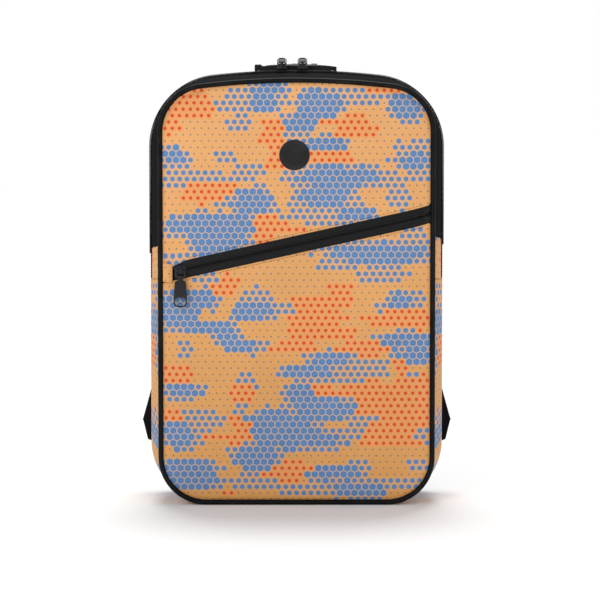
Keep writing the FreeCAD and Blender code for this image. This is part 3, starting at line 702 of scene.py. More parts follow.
def full_front():
    """The whole front cloth as rings drawn in from its outline; later cuts part it at the zip."""
    last = len(INSETS) - 1
    around = 260

    def place(u, v):
        ring = inset(PANEL, INSETS[round(v * last)])
        x, z = rim(ring, (u * 2 - 1) * HALF_RUN)
        return Vector((x, 0.0, z))

    bm = sheet_mesh(around, last, place, close=True)
    fill_middle(bm)
    return bm


def face_along_y(bm, way):
    """Turns a sheet's faces to look forwards (-1) or backwards (1)."""
    bmesh.ops.recalc_face_normals(bm, faces=bm.faces)
    if way * sum(f.normal.y * f.calc_area() for f in bm.faces) < 0:
        bmesh.ops.reverse_faces(bm, faces=bm.faces)


def cut(bm, point, normal, clear=False):
    geometry = bm.verts[:] + bm.edges[:] + bm.faces[:]
    bmesh.ops.bisect_plane(bm, geom=geometry, dist=0.001, plane_co=point, plane_no=normal,
                           clear_outer=clear)


def front_cloth(name, side):
    """Above (side 1) or below (side -1) the pocket zip, its cut edge turned in under itself."""
    bm = full_front()
    up = Vector((ZIP_UP.x, 0.0, ZIP_UP.y)) * side
    origin = Vector((ZIP_LEFT.x, 0.0, ZIP_LEFT.y))
    for reach in (22.0, 12.0, 6.0, 3.2, 2.0, 1.0, 0.4):
        cut(bm, origin + up * (ZIP_HALF + reach), -up)
    cut(bm, origin + up * ZIP_HALF, -up, clear=True)
    if side < 0:
        for z in (220.0, 224.0, 227.0, 229.0, 231.0, 234.0, 238.0):
            cut(bm, Vector((0.0, 0.0, z)), Vector((0.0, 0.0, 1.0)))
    flat_uv(bm)
    edge_verts = set()
    for edge in bm.edges:
        middle = (edge.verts[0].co + edge.verts[1].co) / 2
        if edge.is_boundary and abs(zip_distance(middle.x, middle.z) - side * ZIP_HALF) < 0.05:
            edge_verts.add(edge)
    for vert in bm.verts:
        x, z = vert.co.x, vert.co.z
        lip = abs(zip_distance(x, z)) - ZIP_HALF
        vert.co.y = front_depth(x, z, edge_distance(x, z)) + 0.9 * math.exp(-max(lip, 0.0) / 0.7)
        vert.co.z += zip_pull_up(x) * math.exp(-max(lip, 0.0) / 16.0)
        if side > 0:
            vert.co.z -= zip_taper(x) * math.exp(-max(lip, 0.0) / 7.0)
    turned = bmesh.ops.extrude_edge_only(bm, edges=list(edge_verts))
    for vert in (g for g in turned["geom"] if isinstance(g, bmesh.types.BMVert)):
        vert.co += Vector((0.0, 1.6, 0.0)) + up * 0.8
    face_along_y(bm, -1)
    return thicken(to_piece(name, bm, CLOTH), 1.2)


def make_front():
    upper = front_cloth("upper_front_cloth", 1)
    dress(upper, "front_flap", "printed_fabric", "upper_front_panel")
    lower = front_cloth("lower_front_cloth", -1)
    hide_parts("lower_front_panel", "pocket_panel")
    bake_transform(lower)

    def tab(u, v):
        x = -134.6 + 9.4 * u
        z = 227.5 + 19.0 * v - 1.5 * u
        return Vector((x, -55.4 - 1.1 * math.sin(math.pi * min(u * 1.15, 1.0)) - 0.5 * u, z))
    bm = sheet_mesh(10, 16, tab)
    flat_uv(bm)
    bmesh.ops.recalc_face_normals(bm, faces=bm.faces)
    end_tab = thicken(to_piece("pocket_end_tab", bm, CLOTH), 1.0, offset=0.0)
    dress(end_tab, "front_flap", "printed_fabric")


def make_piping(name, section, y, radius, around=14):
    def path(v):
        run = (v * 2 - 1) * HALF_RUN
        x, z = rim(section, run)
        x1, z1 = rim(section, run + 0.5)
        x0, z0 = rim(section, run - 0.5)
        along = Vector((x1 - x0, 0.0, z1 - z0)).normalized()
        depth = Vector((0.0, 1.0, 0.0))
        return Vector((x, y, z)), along.cross(depth), depth
    bm = tube_mesh(around, 420, path, radius, True)
    return to_piece(name, bm, VINYL)


def make_pipings():
    front = make_piping("front_piping", PIPING, -51.5, PIPING_R)
    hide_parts("lower_piping", "upper_piping")
    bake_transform(front)
    back = make_piping("rear_piping", BACK_PIPING, 51.2, 2.4)
    dress(back, "bag", "piping", "back_piping")


# ---------------------------------------------------------------- side walls and main zip

def cloth_run(run, y):
    """Print coordinates on the walls: across by depth, along by the run, folded back at the top."""
    along = abs(run) % (2 * PRINT_FOLD)
    along = 2 * PRINT_FOLD - along if along > PRINT_FOLD else along
    return ((y - 3.0) * MM, along * MM)


def wall(name, runs, depths, material, out=None, segments=(160, 12), thickness=1.2):
    """A strip of side wall between two runs and two depths; out(f, y) lifts it off the bag's form."""
    (r0, r1), (y0, y1) = runs, depths
    out = out or (lambda f, y: 0.0)

    def place(u, v):
        run, y = r0 + (r1 - r0) * u, y0 + (y1 - y0) * v
        x, z = rim(wall_section(y, out(v, y)), run)
        return Vector((x, y, max(z, 0.0)))

    bm = sheet_mesh(segments[0], segments[1], place,
                    cloth_uv=lambda u, v: cloth_run(r0 + (r1 - r0) * u, y0 + (y1 - y0) * v))
    bmesh.ops.recalc_face_normals(bm, faces=bm.faces)
    middle = Vector((0.0, 0.0, 215.0))
    if sum((f.calc_center_median() - middle).dot(f.normal) * f.calc_area() for f in bm.faces) < 0:
        bmesh.ops.reverse_faces(bm, faces=bm.faces)
    return thicken(to_piece(name, bm, material), thickness)


def around_top(z_right, z_left):
    """Runs from the right side at one height, over the top, to the left side at another."""
    return run_at(z_right), 2 * HALF_RUN - run_at(z_left)


def make_walls():
    fold = run_at(FOLD_Z)
    lower = wall("lower_side_cloth", (-fold, fold), (FRONT_SEAM_Y, BACK_SEAM_Y), CLOTH,
                 out=lambda f, y: -0.4 + 1.0 * math.sin(math.pi * f), segments=(220, 26))
    dress(lower, "bag", "printed_fabric", "lower_gusset")
    rear = wall("rear_side_cloth", around_top(FOLD_Z, FOLD_Z), (TAPE_BACK + 1.0, BACK_SEAM_Y), CLOTH,
                out=lambda f, y: 0.9 * math.sin(math.pi * f) - 0.2, segments=(260, 16))
    dress(rear, "bag", "printed_fabric", "rear_gusset")

    def front_welt(f, y):
        return -0.3 + 0.9 * math.sin(math.pi * min(f, 1.0)) ** 0.7
    strip = wall("front_band", around_top(STRIP_ENDS[1], STRIP_ENDS[-1]), (FRONT_SEAM_Y, -28.2), TAPE,
                 out=front_welt, segments=(240, 12))
    dress(strip, "front_flap", "coated_tape", "front_zip_strip")
    back_strip = wall("rear_band", around_top(FOLD_Z, FOLD_Z), (-19.8, TAPE_BACK + 1.2), TAPE,
                      out=front_welt, segments=(260, 8))
    dress(back_strip, "bag", "coated_tape", "rear_zip_tape")
    for name, body, depths in (("front_zip_band", "front_flap", (-29.0, -24.2)),
                               ("rear_zip_band", "bag", (-23.8, -19.0))):
        band = wall(name, around_top(FOLD_Z + 1.0, FOLD_Z + 1.0), depths, WEBBING,
                    out=lambda f, y: -1.0, segments=(240, 4), thickness=0.8)
        dress(band, body, "coated_tape")

    for side in (-1, 1):
        start, end = sorted((side * run_at(FOLD_Z - 0.5), side * run_at(STRIP_ENDS[side] + 1.0)))
        patch = wall("zip_end_patch_left" if side < 0 else "zip_end_patch_right", (start, end),
                     (FRONT_SEAM_Y, -27.6), CLOTH, out=front_welt, segments=(24, 12))
        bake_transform(patch)
        if side > 0:
            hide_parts("zip_end_patches")


def make_coils():
    """Two rows of coil turns that mesh along the zip line."""
    pitch = 2.0
    start, end = around_top(STRIP_ENDS[1] - 1.0, STRIP_ENDS[-1] - 1.0)
    for name, body, node, y, shift in (("front_coil", "front_flap", "front_zip_teeth", -25.3, 0.0),
                                       ("rear_coil", "bag", "rear_zip_teeth", -22.7, 0.5)):
        bm = bmesh.new()
        count = int((end - start) / pitch)
        for i in range(count):
            run = start + (i + shift) * pitch
            section = wall_section(y, 0.9)
            x, z = rim(section, run)
            x1, z1 = rim(section, run + 1.0)
            along = Vector((x1 - x, 0.0, z1 - z)).normalized()
            depth = Vector((0.0, 1.0, 0.0))
            out = along.cross(depth)
            turn = Matrix((along, depth, out)).transposed().to_4x4()
            size = Matrix.Diagonal((1.3, 2.5, 1.5, 1.0))
            bmesh.ops.create_cube(bm, size=1.0, matrix=Matrix.Translation((x, y, z)) @ turn @ size)
        coil = to_piece(name, bm, COIL, smooth=False)
        soft = coil.modifiers.new("edges", "BEVEL")
        soft.width, soft.segments, soft.limit_method = 0.00035, 1, "NONE"
        dress(coil, body, "zip_coil", node)


# ---------------------------------------------------------------- pocket zip

def make_pocket_zip():
    length = (ZIP_RIGHT - ZIP_LEFT).length
    start = -13.0

    def lip(side):
        def place(u, v):
            along = start + (length + 4.0 - start) * u
            across = side * (0.22 + (ZIP_HALF + 0.7) * v)
            at = ZIP_LEFT + ZIP_ALONG * along + ZIP_UP * across
            at.y += zip_pull_up(at.x) - (v * zip_taper(at.x) if side > 0 else 0.0)
            ridge = 0.55 * math.exp(-((v - 0.18) / 0.1) ** 2) + 0.3 * math.exp(-((v - 0.55) / 0.05) ** 2)
            centre = 0.8 * math.exp(-v / 0.05)
            edge = min(1.0, max(0.0, (PANEL.half - abs(at.x)) / 6.0))
            ridge += 0.14 * math.cos(10.0 * math.pi * v)
            y = -54.9 - ridge * 0.8 + centre + 0.5 * v + (1.0 - edge) * 2.2
            return Vector((max(-PANEL.half, min(PANEL.half, at.x)), y, at.y))
        return place

    runs = {}
    for name, side in (("upper_zip_lip", 1), ("lower_zip_lip", -1)):
        bm = sheet_mesh(90, 26, lip(side), cloth_uv=lambda u, v: (u * 0.25, v * 0.01))
        bmesh.ops.recalc_face_normals(bm, faces=bm.faces)
        if sum(f.normal.y for f in bm.faces) > 0:
            bmesh.ops.reverse_faces(bm, faces=bm.faces)
        runs[name] = thicken(to_piece(name, bm, ZIP_TAPE), 0.7)
    dress(runs["upper_zip_lip"], "front_flap", "coated_tape", "pocket_zip_tape")
    dress(runs["lower_zip_lip"], "front_flap", "coated_tape")

    bm = bmesh.new()
    slope = math.atan2(ZIP_ALONG.y, ZIP_ALONG.x)
    turn = Matrix.Rotation(-slope, 4, "Y")
    count = int((length - 10.0) / 1.6)
    for i in range(count):
        at = ZIP_LEFT + ZIP_ALONG * (i * 1.6)
        at.y += zip_pull_up(at.x)
        size = Matrix.Diagonal((1.0, 1.4, 4.4, 1.0))
        bmesh.ops.create_cube(bm, size=1.0, matrix=Matrix.Translation((at.x, -53.2, at.y)) @ turn @ size)
    dress(to_piece("pocket_coil", bm, COIL, smooth=False), "front_flap", "zip_coil", "pocket_zip_teeth")
    moulded("pocket_zip_stops", METAL, "front_flap", "black_metal", 0.2)

    edges = []
    for side in (1, -1):
        points = []
        for i in range(60):
            along = -12.0 + (length + 8.0) * i / 59
            at = ZIP_LEFT + ZIP_ALONG * along + ZIP_UP * side * (ZIP_HALF + 2.0)
            if -112 < at.x < PANEL.half - 2:
                at.y += zip_pull_up(at.x)
                y = front_depth(at.x, at.y, edge_distance(at.x, at.y)) - 0.05
                points.append((Vector((at.x, y, at.y)), Vector((0, -1, 0))))
        edges.append(points)
    stitch_piece("pocket_zip_stitches", edges, THREAD, "front_flap", "coated_tape", pitch=2.9, length=1.9)
    seam = [(Vector((x, -55.8, 228.6)), Vector((0, -1, 0))) for x in (-134.0, -130.0, -126.0)]
    stitch_piece("end_tab_stitches", [seam], THREAD, "front_flap", "coated_tape", pitch=2.6, length=1.8)


# ---------------------------------------------------------------- back

def strap_plane():
    along = (STRAP_FOOT - STRAP_TOP).normalized()
    back = Vector((0.0, 1.0, 0.0))
    return along, back, along.cross(back)


def smooth_route(points, count):
    """Evenly stepped points and directions on one smooth curve led by a short list of points."""
    data = bpy.data.curves.new("route", "CURVE")
    data.dimensions = "3D"
    line = data.splines.new("NURBS")
    line.points.add(len(points) - 1)
    for knot, (u, v) in zip(line.points, points):
        knot.co = (u, v, 0.0, 1.0)
    line.order_u = 4
    line.use_endpoint_u = True
    line.resolution_u = 24
    holder = linked("route", data)
    mesh = bpy.data.meshes.new_from_object(holder)
    chain = [v.co.copy() for v in mesh.vertices]
    bpy.data.objects.remove(holder)
    bpy.data.curves.remove(data)
    bpy.data.meshes.remove(mesh)
    lengths = [0.0]
    for a, b in zip(chain, chain[1:]):
        lengths.append(lengths[-1] + (b - a).length)
    stations = []
    for i in range(count + 1):
        want = lengths[-1] * i / count
        k = next((j for j in range(1, len(lengths)) if lengths[j] >= want - 1e-9), len(lengths) - 1)
        a, b = chain[k - 1], chain[k]
        f = (want - lengths[k - 1]) / max(lengths[k] - lengths[k - 1], 1e-9)
        stations.append((a.lerp(b, f), (b - a).normalized()))
    return stations, lengths[-1]


def band_mesh(stations, frame_axes, origin, mirror, half_width, half_thick, around=20, power=0.55):
    """A soft flat band along stations: rounded section, width and thickness by place along it."""
    along, back, across = frame_axes
    count = len(stations) - 1

    def place(u, v):
        point, direction = stations[round(v * count)]
        normal = Vector((-direction.y, direction.x, 0.0))
        a = 2 * math.pi * u
        c, s = math.cos(a), math.sin(a)
        w = math.copysign(abs(c) ** 0.8, c) * half_width(v)
        t = math.copysign(abs(s) ** power, s) * half_thick(v)
        p = point + normal * t
        world = origin + along * p.x + back * p.y + across * w
        return Vector((-world.x, world.y, world.z)) if mirror else world

    bm = sheet_mesh(around, count, place, cloth_uv=lambda u, v: (u * 0.1, v * 0.3), close=True)
    bmesh.ops.holes_fill(bm, edges=bm.edges, sides=around + 1)
    bmesh.ops.recalc_face_normals(bm, faces=bm.faces)
    return bm


def make_straps():
    axes = strap_plane()
    pad_route = [(2, 1.5), (-12, 6), (-30, 20), (-30, 52), (10, 60), (60, 60), (120, 59), (186, 48)]
    pad_steps = 70
    pad_stations, _ = smooth_route(pad_route, pad_steps)
    web_route = [(188, 47.5), (200, 46), (225, 41), (262, 30), (298, 14), (327, 0.2)]
    web_stations, _ = smooth_route(web_route, 40)
    tail_route = [(193, 49.6), (206, 51), (230, 50), (252, 45)]
    tail_stations, _ = smooth_route(tail_route, 20)
    web_half, web_thick = 12.3, 0.85

    def pad_width(v):
        ends = min(1.0, 0.82 + 3.0 * v) * min(1.0, 0.55 + 4.0 * (1.0 - v))
        return (28.5 - 5.0 * v) * ends

    def pad_thick(v):
        return 5.4 * min(1.0, 0.5 + 3.0 * v) * min(1.0, 0.45 + 5.0 * (1.0 - v))

    for side, mirror in (("right", False), ("left", True)):
        body = f"strap_{side}"
        bm = band_mesh(pad_stations, axes, STRAP_TOP, mirror, pad_width, pad_thick, around=32)
        pad = to_piece(f"shoulder_pad_{side}", bm, SPACER)
        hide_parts(f"strap_pad_{side}")
        if side == "right":
            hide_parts("strap_roots")
        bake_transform(pad)

        for edge_name, edge_side in (("inner", -1), ("outer", 1)):
            def edge_path(v, edge_side=edge_side):
                point, direction = pad_stations[round(v * pad_steps)]
                normal = Vector((-direction.y, direction.x, 0.0))
                along, back, across = axes
                world = STRAP_TOP + along * point.x + back * point.y + across * (
                    edge_side * (pad_width(v) - 0.3))
                up = along * normal.x + back * normal.y
                if mirror:
                    world.x, up = -world.x, Vector((-up.x, up.y, up.z))
                return world, up.cross(Vector((0, 0, 1))).normalized(), up
            bm = tube_mesh(10, pad_steps, edge_path,
                           lambda v: 2.3 * min(1.0, pad_thick(v) / 4.0 + 0.1), False)
            trim = to_piece(f"shoulder_pad_binding_{side}_{edge_name}", bm, BINDING)
            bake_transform(trim)

        for part, stations, nodes in (("web", web_stations, [f"strap_webbing_{side}"]),
                                      ("tail", tail_stations, [])):
            bm = band_mesh(stations, axes, STRAP_TOP, mirror, lambda v: web_half, lambda v: web_thick,
                           around=16, power=0.4)
            dress(to_piece(f"strap_{part}_{side}", bm, WEBBING), body, "webbing", *nodes)
        moulded(f"strap_adjuster_{side}", BUCKLE, body, "buckle_plastic", 0.6)


def make_back_pads():
    """Filled pads: blown up a little as cloth, then sewn down along channels."""
    for node in ("back_pad_left", "back_pad_right", "back_pad_lower"):
        low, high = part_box(node)
        bm = bmesh.new()
        bm.from_mesh(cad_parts[node].data)
        bmesh.ops.scale(bm, vec=(1000, 1000, 1000), verts=bm.verts)
        bmesh.ops.remove_doubles(bm, verts=bm.verts, dist=0.01)
        pad = to_piece(f"{node}_cloth", bm, SPACER)
        remesh = pad.modifiers.new("even", "REMESH")
        remesh.mode, remesh.voxel_size = "VOXEL", 0.0035
        settle(pad, ["even"])
        blow_up(pad, low)
        smooth = pad.modifiers.new("finer", "SUBSURF")
        smooth.levels = smooth.render_levels = 1
        settle(pad, ["finer"])
        sew_channels(pad, low, high)
        pad.data.polygons.foreach_set("use_smooth", [True] * len(pad.data.polygons))
        dress(pad, "bag", "padding_mesh", node)


def settle(obj, names):
    """Applies modifiers by taking the evaluated mesh."""
    bpy.context.view_layer.update()
    mesh = bpy.data.meshes.new_from_object(obj.evaluated_get(bpy.context.evaluated_depsgraph_get()))
    old = obj.data
    for name in names:
        obj.modifiers.remove(obj.modifiers[name])
    obj.data = mesh
    bpy.data.meshes.remove(old)


def blow_up(obj, low, cap=0.0035):
    """A short cloth run with air pressure; the back stays where it is sewn on."""
    start = [v.co.copy() for v in obj.data.vertices]
    held = obj.vertex_groups.new(name="held")
    held.add([v.index for v in obj.data.vertices if v.co.y < low.y + 0.0015], 1.0, "REPLACE")
    cloth = obj.modifiers.new("air", "CLOTH")
    cloth.settings.use_pressure = True
    cloth.settings.uniform_pressure_force = 3.0
    cloth.settings.vertex_group_mass = "held"
    cloth.settings.effector_weights.gravity = 0.0
    cloth.settings.quality = 4
    cloth.point_cache.frame_start, cloth.point_cache.frame_end = 1, 16
    scene = bpy.context.scene
    for number in range(1, 17):
        scene.frame_set(number)
    mesh = bpy.data.meshes.new_from_object(obj.evaluated_get(bpy.context.evaluated_depsgraph_get()))
    blown = [v.co.copy() for v in mesh.vertices]
    obj.modifiers.remove(cloth)
    obj.vertex_groups.clear()
    bpy.data.meshes.remove(mesh)
    scene.frame_set(1)
    for vert, before, after in zip(obj.data.vertices, start, blown):
        move = after - before
        if move.length > cap:
            move *= cap / move.length
        vert.co = before + move


def sew_channels(obj, low, high):
    """Presses sewn lines into the pad's face."""
    width, tall = high.x - low.x, high.z - low.z
    upright = tall > width
    span, lines = (tall, 4) if upright else (width, 3)
    for vert in obj.data.vertices:
        depth = (vert.co.y - low.y) / (high.y - low.y)
        if depth < 0.4:
            continue
        place = (vert.co.z - low.z) if upright else (vert.co.x - low.x)
        press = 0.0
        for k in range(1, lines + 1):
            gap = (place - span * k / (lines + 1)) / 0.0045
            press += math.exp(-gap * gap)
        vert.co.y -= 0.0026 * press * min(1.0, depth)


def make_back():
    back_insets = [0.0, 0.6, 1.5, 3.0, 5.0, 8.0, 12.0, 18.0, 27.0, 38.0, 50.0, 64.0, 80.0, 98.0, 118.0, 134.0]
    last = len(back_insets) - 1

    def place(u, v):
        d = back_insets[round(v * last)]
        x, z = rim(inset(BACK_PANEL, d), (u * 2 - 1) * HALF_RUN)
        return Vector((x, 51.2 + 2.6 * (1 - math.exp(-d / 3.0)), z))
    bm = sheet_mesh(220, last, place, close=True)
    bmesh.ops.holes_fill(bm, edges=[e for e in bm.edges if e.is_boundary and abs(e.verts[0].co.x) < 10],
                         sides=0)
    flat_uv(bm)
    face_along_y(bm, 1)
    back = thicken(to_piece("back_cloth", bm, CANVAS), 1.2)
    dress(back, "bag", "black_fabric", "back_panel")

    bm = bmesh.new()
    yoke_y = 54.6
    bm.faces.new([bm.verts.new((x, yoke_y, z)) for x, z in ((-108, 370), (108, 370), (92, 423), (-92, 423))])
    bmesh.ops.bevel(bm, geom=bm.verts[:], offset=7.0, segments=5, profile=0.5, material=-1, affect="VERTICES")
    bmesh.ops.recalc_face_normals(bm, faces=bm.faces)
    bmesh.ops.solidify(bm, geom=bm.faces[:], thickness=1.0)
    yoke = to_piece("strap_yoke_cloth", bm, CANVAS, sharp=40)
    soft = yoke.modifiers.new("edges", "BEVEL")
    soft.width, soft.segments = 0.0004, 2
    dress(yoke, "bag", "black_fabric", "strap_yoke")

    moulded("strap_anchors", CANVAS, "bag", "black_fabric", 0.5)
    moulded("handle_anchor", CANVAS, "bag", "black_fabric", 1.2)

    def loop(v):
        drop, half, top, y = 26.0, 20.0, 426.0, 61.0
        leg = drop + 3.0
        total = 2 * leg + math.pi * half
        s = v * total
        if s < leg:
            centre, along = Vector((-half, y, top + 3.0 - s)), Vector((0, 0, -1))
        elif s > total - leg:
            centre, along = Vector((half, y, top + 3.0 - (total - s))), Vector((0, 0, 1))
        else:
            a = math.pi + (s - leg) / half
            centre = Vector((half * math.cos(a), y, top - drop + half * math.sin(a)))
            along = Vector((-math.sin(a), 0, math.cos(a)))
        depth = Vector((0, 1, 0))
        return centre, along.cross(depth), depth * 0.72
    bm = tube_mesh(18, 90, loop, lambda v: 4.4 * min(1.0, 0.7 + 6 * min(v, 1 - v)), False)
    dress(to_piece("haul_loop", bm, WEBBING), "haul_handle", "black_fabric", "haul_handle")


# ---------------------------------------------------------------- inside

def tub(name, runs, depths, side, body, nodes, segments=(200, 10)):
    (r0, r1), (y0, y1) = runs, depths

    def place(u, v):
        run, y = r0 + (r1 - r0) * u, y0 + (y1 - y0) * v
        x, z = rim(wall_section(y, -side), run)
        crease = 0.35 * math.sin(run * 0.21) * math.sin(math.pi * v)
        return Vector((x * (1 - crease / 150), y, max(z, 5.0)))
    bm = sheet_mesh(segments[0], segments[1], place)
    bmesh.ops.recalc_face_normals(bm, faces=bm.faces)
    piece = thicken(to_piece(name, bm, LINING), 0.5, offset=0.0)
    return dress(piece, body, "lining", *nodes)


def make_inside():
    fold = run_at(FOLD_Z - 1.0)
    lower = tub("lower_side_lining", (-fold, fold), (-41.0, 45.0), 3.0, "bag", ["main_lining"])
    rear = tub("rear_side_lining", around_top(FOLD_Z - 1.0, FOLD_Z - 1.0), (-21.0, 45.0), 3.0, "bag", [])
    flap = tub("flap_side_lining", around_top(FOLD_Z + 1.0, FOLD_Z + 1.0), (-48.5, -26.8), 3.0, "front_flap",
               ["flap_lining"])

    def back_wall(u, v):
        x, z = rim(inset(BACK_SEAM, 3.2 + 138.0 * v, 1.0), (u * 2 - 1) * HALF_RUN)
        return Vector((x, 45.2 + 0.3 * math.sin(x * 0.05) * math.sin(z * 0.04), max(z, 5.0)))
    bm = sheet_mesh(160, 16, back_wall, close=True)
    fill_middle(bm)
    bmesh.ops.recalc_face_normals(bm, faces=bm.faces)
    piece = thicken(to_piece("back_lining", bm, LINING), 0.4, offset=0.0)
    dress(piece, "bag", "lining")

    def front_lining(u, v):
        x, z = rim(inset(FRONT_SEAM, 5.0 + 128.0 * v, 1.0), (u * 2 - 1) * HALF_RUN)
        lift = 1.0 / (1.0 + math.exp(-(z - 222.0) / 4.0))
        y = -42.0 - 7.2 * lift
        return Vector((x * (0.90 + 0.10 * lift), y, max(z, 9.0)))
    bm = sheet_mesh(200, 22, front_lining, close=True)
    fill_middle(bm)
    for z in (218.0, 222.0, 226.0, 229.0, 232.0, 236.0):
        cut(bm, Vector((0, 0, z)), Vector((0, 0, 1)))
    bmesh.ops.recalc_face_normals(bm, faces=bm.faces)
    piece = thicken(to_piece("front_lining", bm, LINING), 0.5, offset=0.0)
    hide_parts("pocket_lining")
    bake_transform(piece)

    def sleeve(u, v):
        a = 2 * u - 1
        bow = 1 - a * a
        return Vector((115.0 * a, 29.4 - 1.6 * bow * math.sin(math.pi * min(v * 1.2, 1.0)), 6.8 + 292.0 * v))
    bm = sheet_mesh(60, 80, sleeve)
    bmesh.ops.recalc_face_normals(bm, faces=bm.faces)
    front = thicken(to_piece("sleeve_front", bm, LINING), 4.2, offset=0.0)
    soft = front.modifiers.new("edges", "BEVEL")
    soft.width, soft.segments, soft.limit_method = 0.0016, 3, "ANGLE"
    dress(front, "bag", "lining", "laptop_sleeve")
    for side, name in ((-1, "left"), (1, "right")):
        def edge(u, v, side=side):
            return Vector((side * (113.6 + 1.6 * math.sin(math.pi * u)), 30.5 + 14.0 * u, 6.8 + 292.0 * v))
        bm = sheet_mesh(8, 60, edge)
        bmesh.ops.recalc_face_normals(bm, faces=bm.faces)
        dress(thicken(to_piece(f"sleeve_side_{name}", bm, LINING), 1.2, offset=0.0), "bag", "lining")

    def binding(v):
        a = 2 * v - 1
        return Vector((115.0 * a, 29.4 - 0.1, 299.0)), Vector((0, 1, 0)), Vector((0, 0, 1))
    bm = tube_mesh(10, 40, binding, 3.0, False)
    dress(to_piece("sleeve_binding", bm, BINDING), "bag", "black_fabric")
    moulded("sleeve_strap", WEBBING, "sleeve_strap", "webbing", 0.4)
    moulded("base_board", BOARD, "bag", "board", 0.4)
    moulded("back_stiffener", BOARD, "bag", "board", 0)


# ---------------------------------------------------------------- hard parts

def pull_grip(side):
    """A small moulded tongue that fills the far half of a main zip pull's ring."""
    low, high = (Vector(corner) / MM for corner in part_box(f"{side}_zip_pull"))
    wire = 1.1
    middle = (low.x + high.x) / 2
    near = Vector((middle, low.y + wire, low.z + wire))
    far = Vector((middle, high.y - wire, high.z - wire))
    along = (far - near).normalized()
    turn = Matrix((Vector((1, 0, 0)), along, Vector((1, 0, 0)).cross(along))).transposed().to_4x4()
    bm = bmesh.new()
    bmesh.ops.create_cube(bm, size=1.0, matrix=Matrix.Diagonal((6.6, 6.4, 1.7, 1.0)))
    bmesh.ops.bevel(bm, geom=bm.edges[:], offset=0.6, offset_type="OFFSET", segments=3, profile=0.5,
                    affect="EDGES", material=-1)
    bmesh.ops.transform(bm, verts=bm.verts[:],
                        matrix=Matrix.Translation(near.lerp(far, 0.62)) @ turn)
    dress(to_piece(f"{side}_pull_grip", bm, RUBBER), f"{side}_zip_pull", "black_rubber")


def make_hardware():
    moulded("pocket_slider", METAL, "pocket_slider", "black_metal", 0.35)
    moulded("pocket_pull_ring", METAL, "pocket_pull_ring", "black_metal", 0)
    moulded("pocket_pull_tab", METAL, "pocket_pull_tab", "black_rubber", 0.4)
    for side in ("left", "right"):
        moulded(f"{side}_zip_slider", METAL, f"{side}_zip_slider", "black_metal", 0.35)
        moulded(f"{side}_zip_pull", METAL, f"{side}_zip_pull", "black_metal", 0.2)
        pull_grip(side)
    moulded("zip_end_stops", METAL, "bag", "black_metal", 0.2)
    moulded("badge", RUBBER, "front_flap", "black_rubber", 0.2)
    moulded("lock_base", LOCK, "bag", "lock_plastic", 0.25)
    moulded("lock_case", LOCK, "bag", "lock_plastic", 0.4)
    moulded("lock_spindle", METAL, "bag", "black_metal", 0.1)
    moulded("lock_rivets", METAL, "bag", "black_metal", 0)
    moulded("lock_button", LOCK, "lock_button", "lock_plastic", 0.4)
    moulded("lock_latch", METAL, "lock_button", "black_metal", 0.15)
    for number in (1, 2, 3):
        moulded(f"lock_dial_{number}", LOCK, f"lock_dial_{number}", "lock_plastic", 0.15)


def seam_run(section_of, y, out, runs, step=4.0):
    """Points and normals along a wall's run, for a line of stitching."""
    start, end = runs
    count = int(abs(end - start) / step)
    points = []
    for i in range(count + 1):
        run = start + (end - start) * i / count
        x, z = rim(section_of(y, out), run)
        x1, z1 = rim(section_of(y, out), run + 0.5)
        along = Vector((x1 - x, 0.0, z1 - z)).normalized()
        points.append((Vector((x, y, z)), along.cross(Vector((0, 1, 0)))))
    return points


def make_stitching():
    top = around_top(STRIP_ENDS[1], STRIP_ENDS[-1])
    fold = run_at(FOLD_Z - 2.0)
    stitch_piece("front_band_stitches", [seam_run(wall_section, -30.6, 0.6, top)], THREAD, "front_flap",
                 "coated_tape")
    rear_top = around_top(FOLD_Z + 2.0, FOLD_Z + 2.0)
    stitch_piece("rear_band_stitches", [seam_run(wall_section, -17.4, 0.55, rear_top),
                                        seam_run(wall_section, -10.6, 0.3, rear_top)],
                 THREAD, "bag", "coated_tape")
    stitch_piece("lower_side_stitches", [seam_run(wall_section, -45.6, -0.1, (-fold, fold)),
                                         seam_run(wall_section, 45.6, 0.1, (-fold, fold))],
                 THREAD, "bag", "coated_tape")


# ---------------------------------------------------------------- room

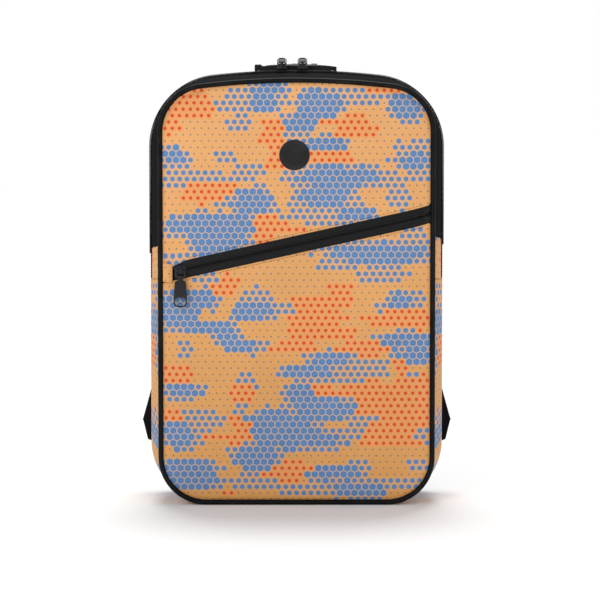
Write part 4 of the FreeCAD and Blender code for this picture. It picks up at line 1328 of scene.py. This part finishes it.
def make_room():
    floor_material, tree, shader = finish_of("pale_floor", 0.9, specular=0.1)
    mottle = placed(tree, MOTTLE, {"Vector": object_place(tree), "Size": 0.6})
    tree.links.new(mix_of(tree, mottle["Slow"], (0.84, 0.84, 0.84, 1), (0.86, 0.86, 0.86, 1)),
                   shader.inputs["Base Color"])
    bm = bmesh.new()
    bmesh.ops.create_circle(bm, cap_ends=True, radius=60000.0, segments=96)
    to_piece("floor", bm, floor_material)

    world = bpy.data.worlds.new("studio")
    bpy.context.scene.world = world
    world.use_nodes = True
    air = world.node_tree
    seen = air.nodes.new("ShaderNodeLightPath").outputs["Is Camera Ray"]
    strength = put(air, "ShaderNodeMapRange", {0: seen, 3: 0.55, 4: 1.0}).outputs[0]
    air.links.new(strength, air.nodes["Background"].inputs["Strength"])
    air.nodes["Background"].inputs["Color"].default_value = (1.0, 1.0, 1.0, 1.0)

    for name, place, size, energy in (("key", (-1.3, -2.3, 1.15), 1.1, 22.0),
                                      ("fill", (1.7, -2.1, 0.7), 1.6, 10.0)):
        data = bpy.data.lights.new(name, "AREA")
        data.size = size
        data.energy = energy
        lamp = linked(name, data)
        lamp.location = place
        lamp.rotation_euler = (Vector((0, 0, 0.22)) - Vector(place)).to_track_quat("-Z", "Y").to_euler()
    above = bpy.data.lights.new("above", "SUN")
    above.energy = 2.3
    above.angle = math.radians(30)
    linked("above", above).rotation_euler = (math.radians(-24), 0.0, 0.0)

    camera = bpy.data.cameras.new("camera")
    camera.sensor_width = 36.0
    camera.lens = 130.7
    camera.clip_end = 30.0
    eye = linked("camera", camera)
    aim = Vector((0.0035, FRONT_FACE * MM, 0.209))
    tilt = math.radians(3.5)
    away = 2.2
    eye.location = aim + Vector((0.0, -math.cos(tilt), math.sin(tilt))) * away
    eye.rotation_euler = (aim - eye.location).to_track_quat("-Z", "Y").to_euler()
    bpy.context.scene.camera = eye
    bpy.context.scene.view_settings.view_transform = "Standard"


random.seed(7)
make_room()
make_front()
make_pipings()
make_walls()
make_coils()
make_pocket_zip()
make_straps()
make_back_pads()
make_back()
make_inside()
make_hardware()
make_stitching()
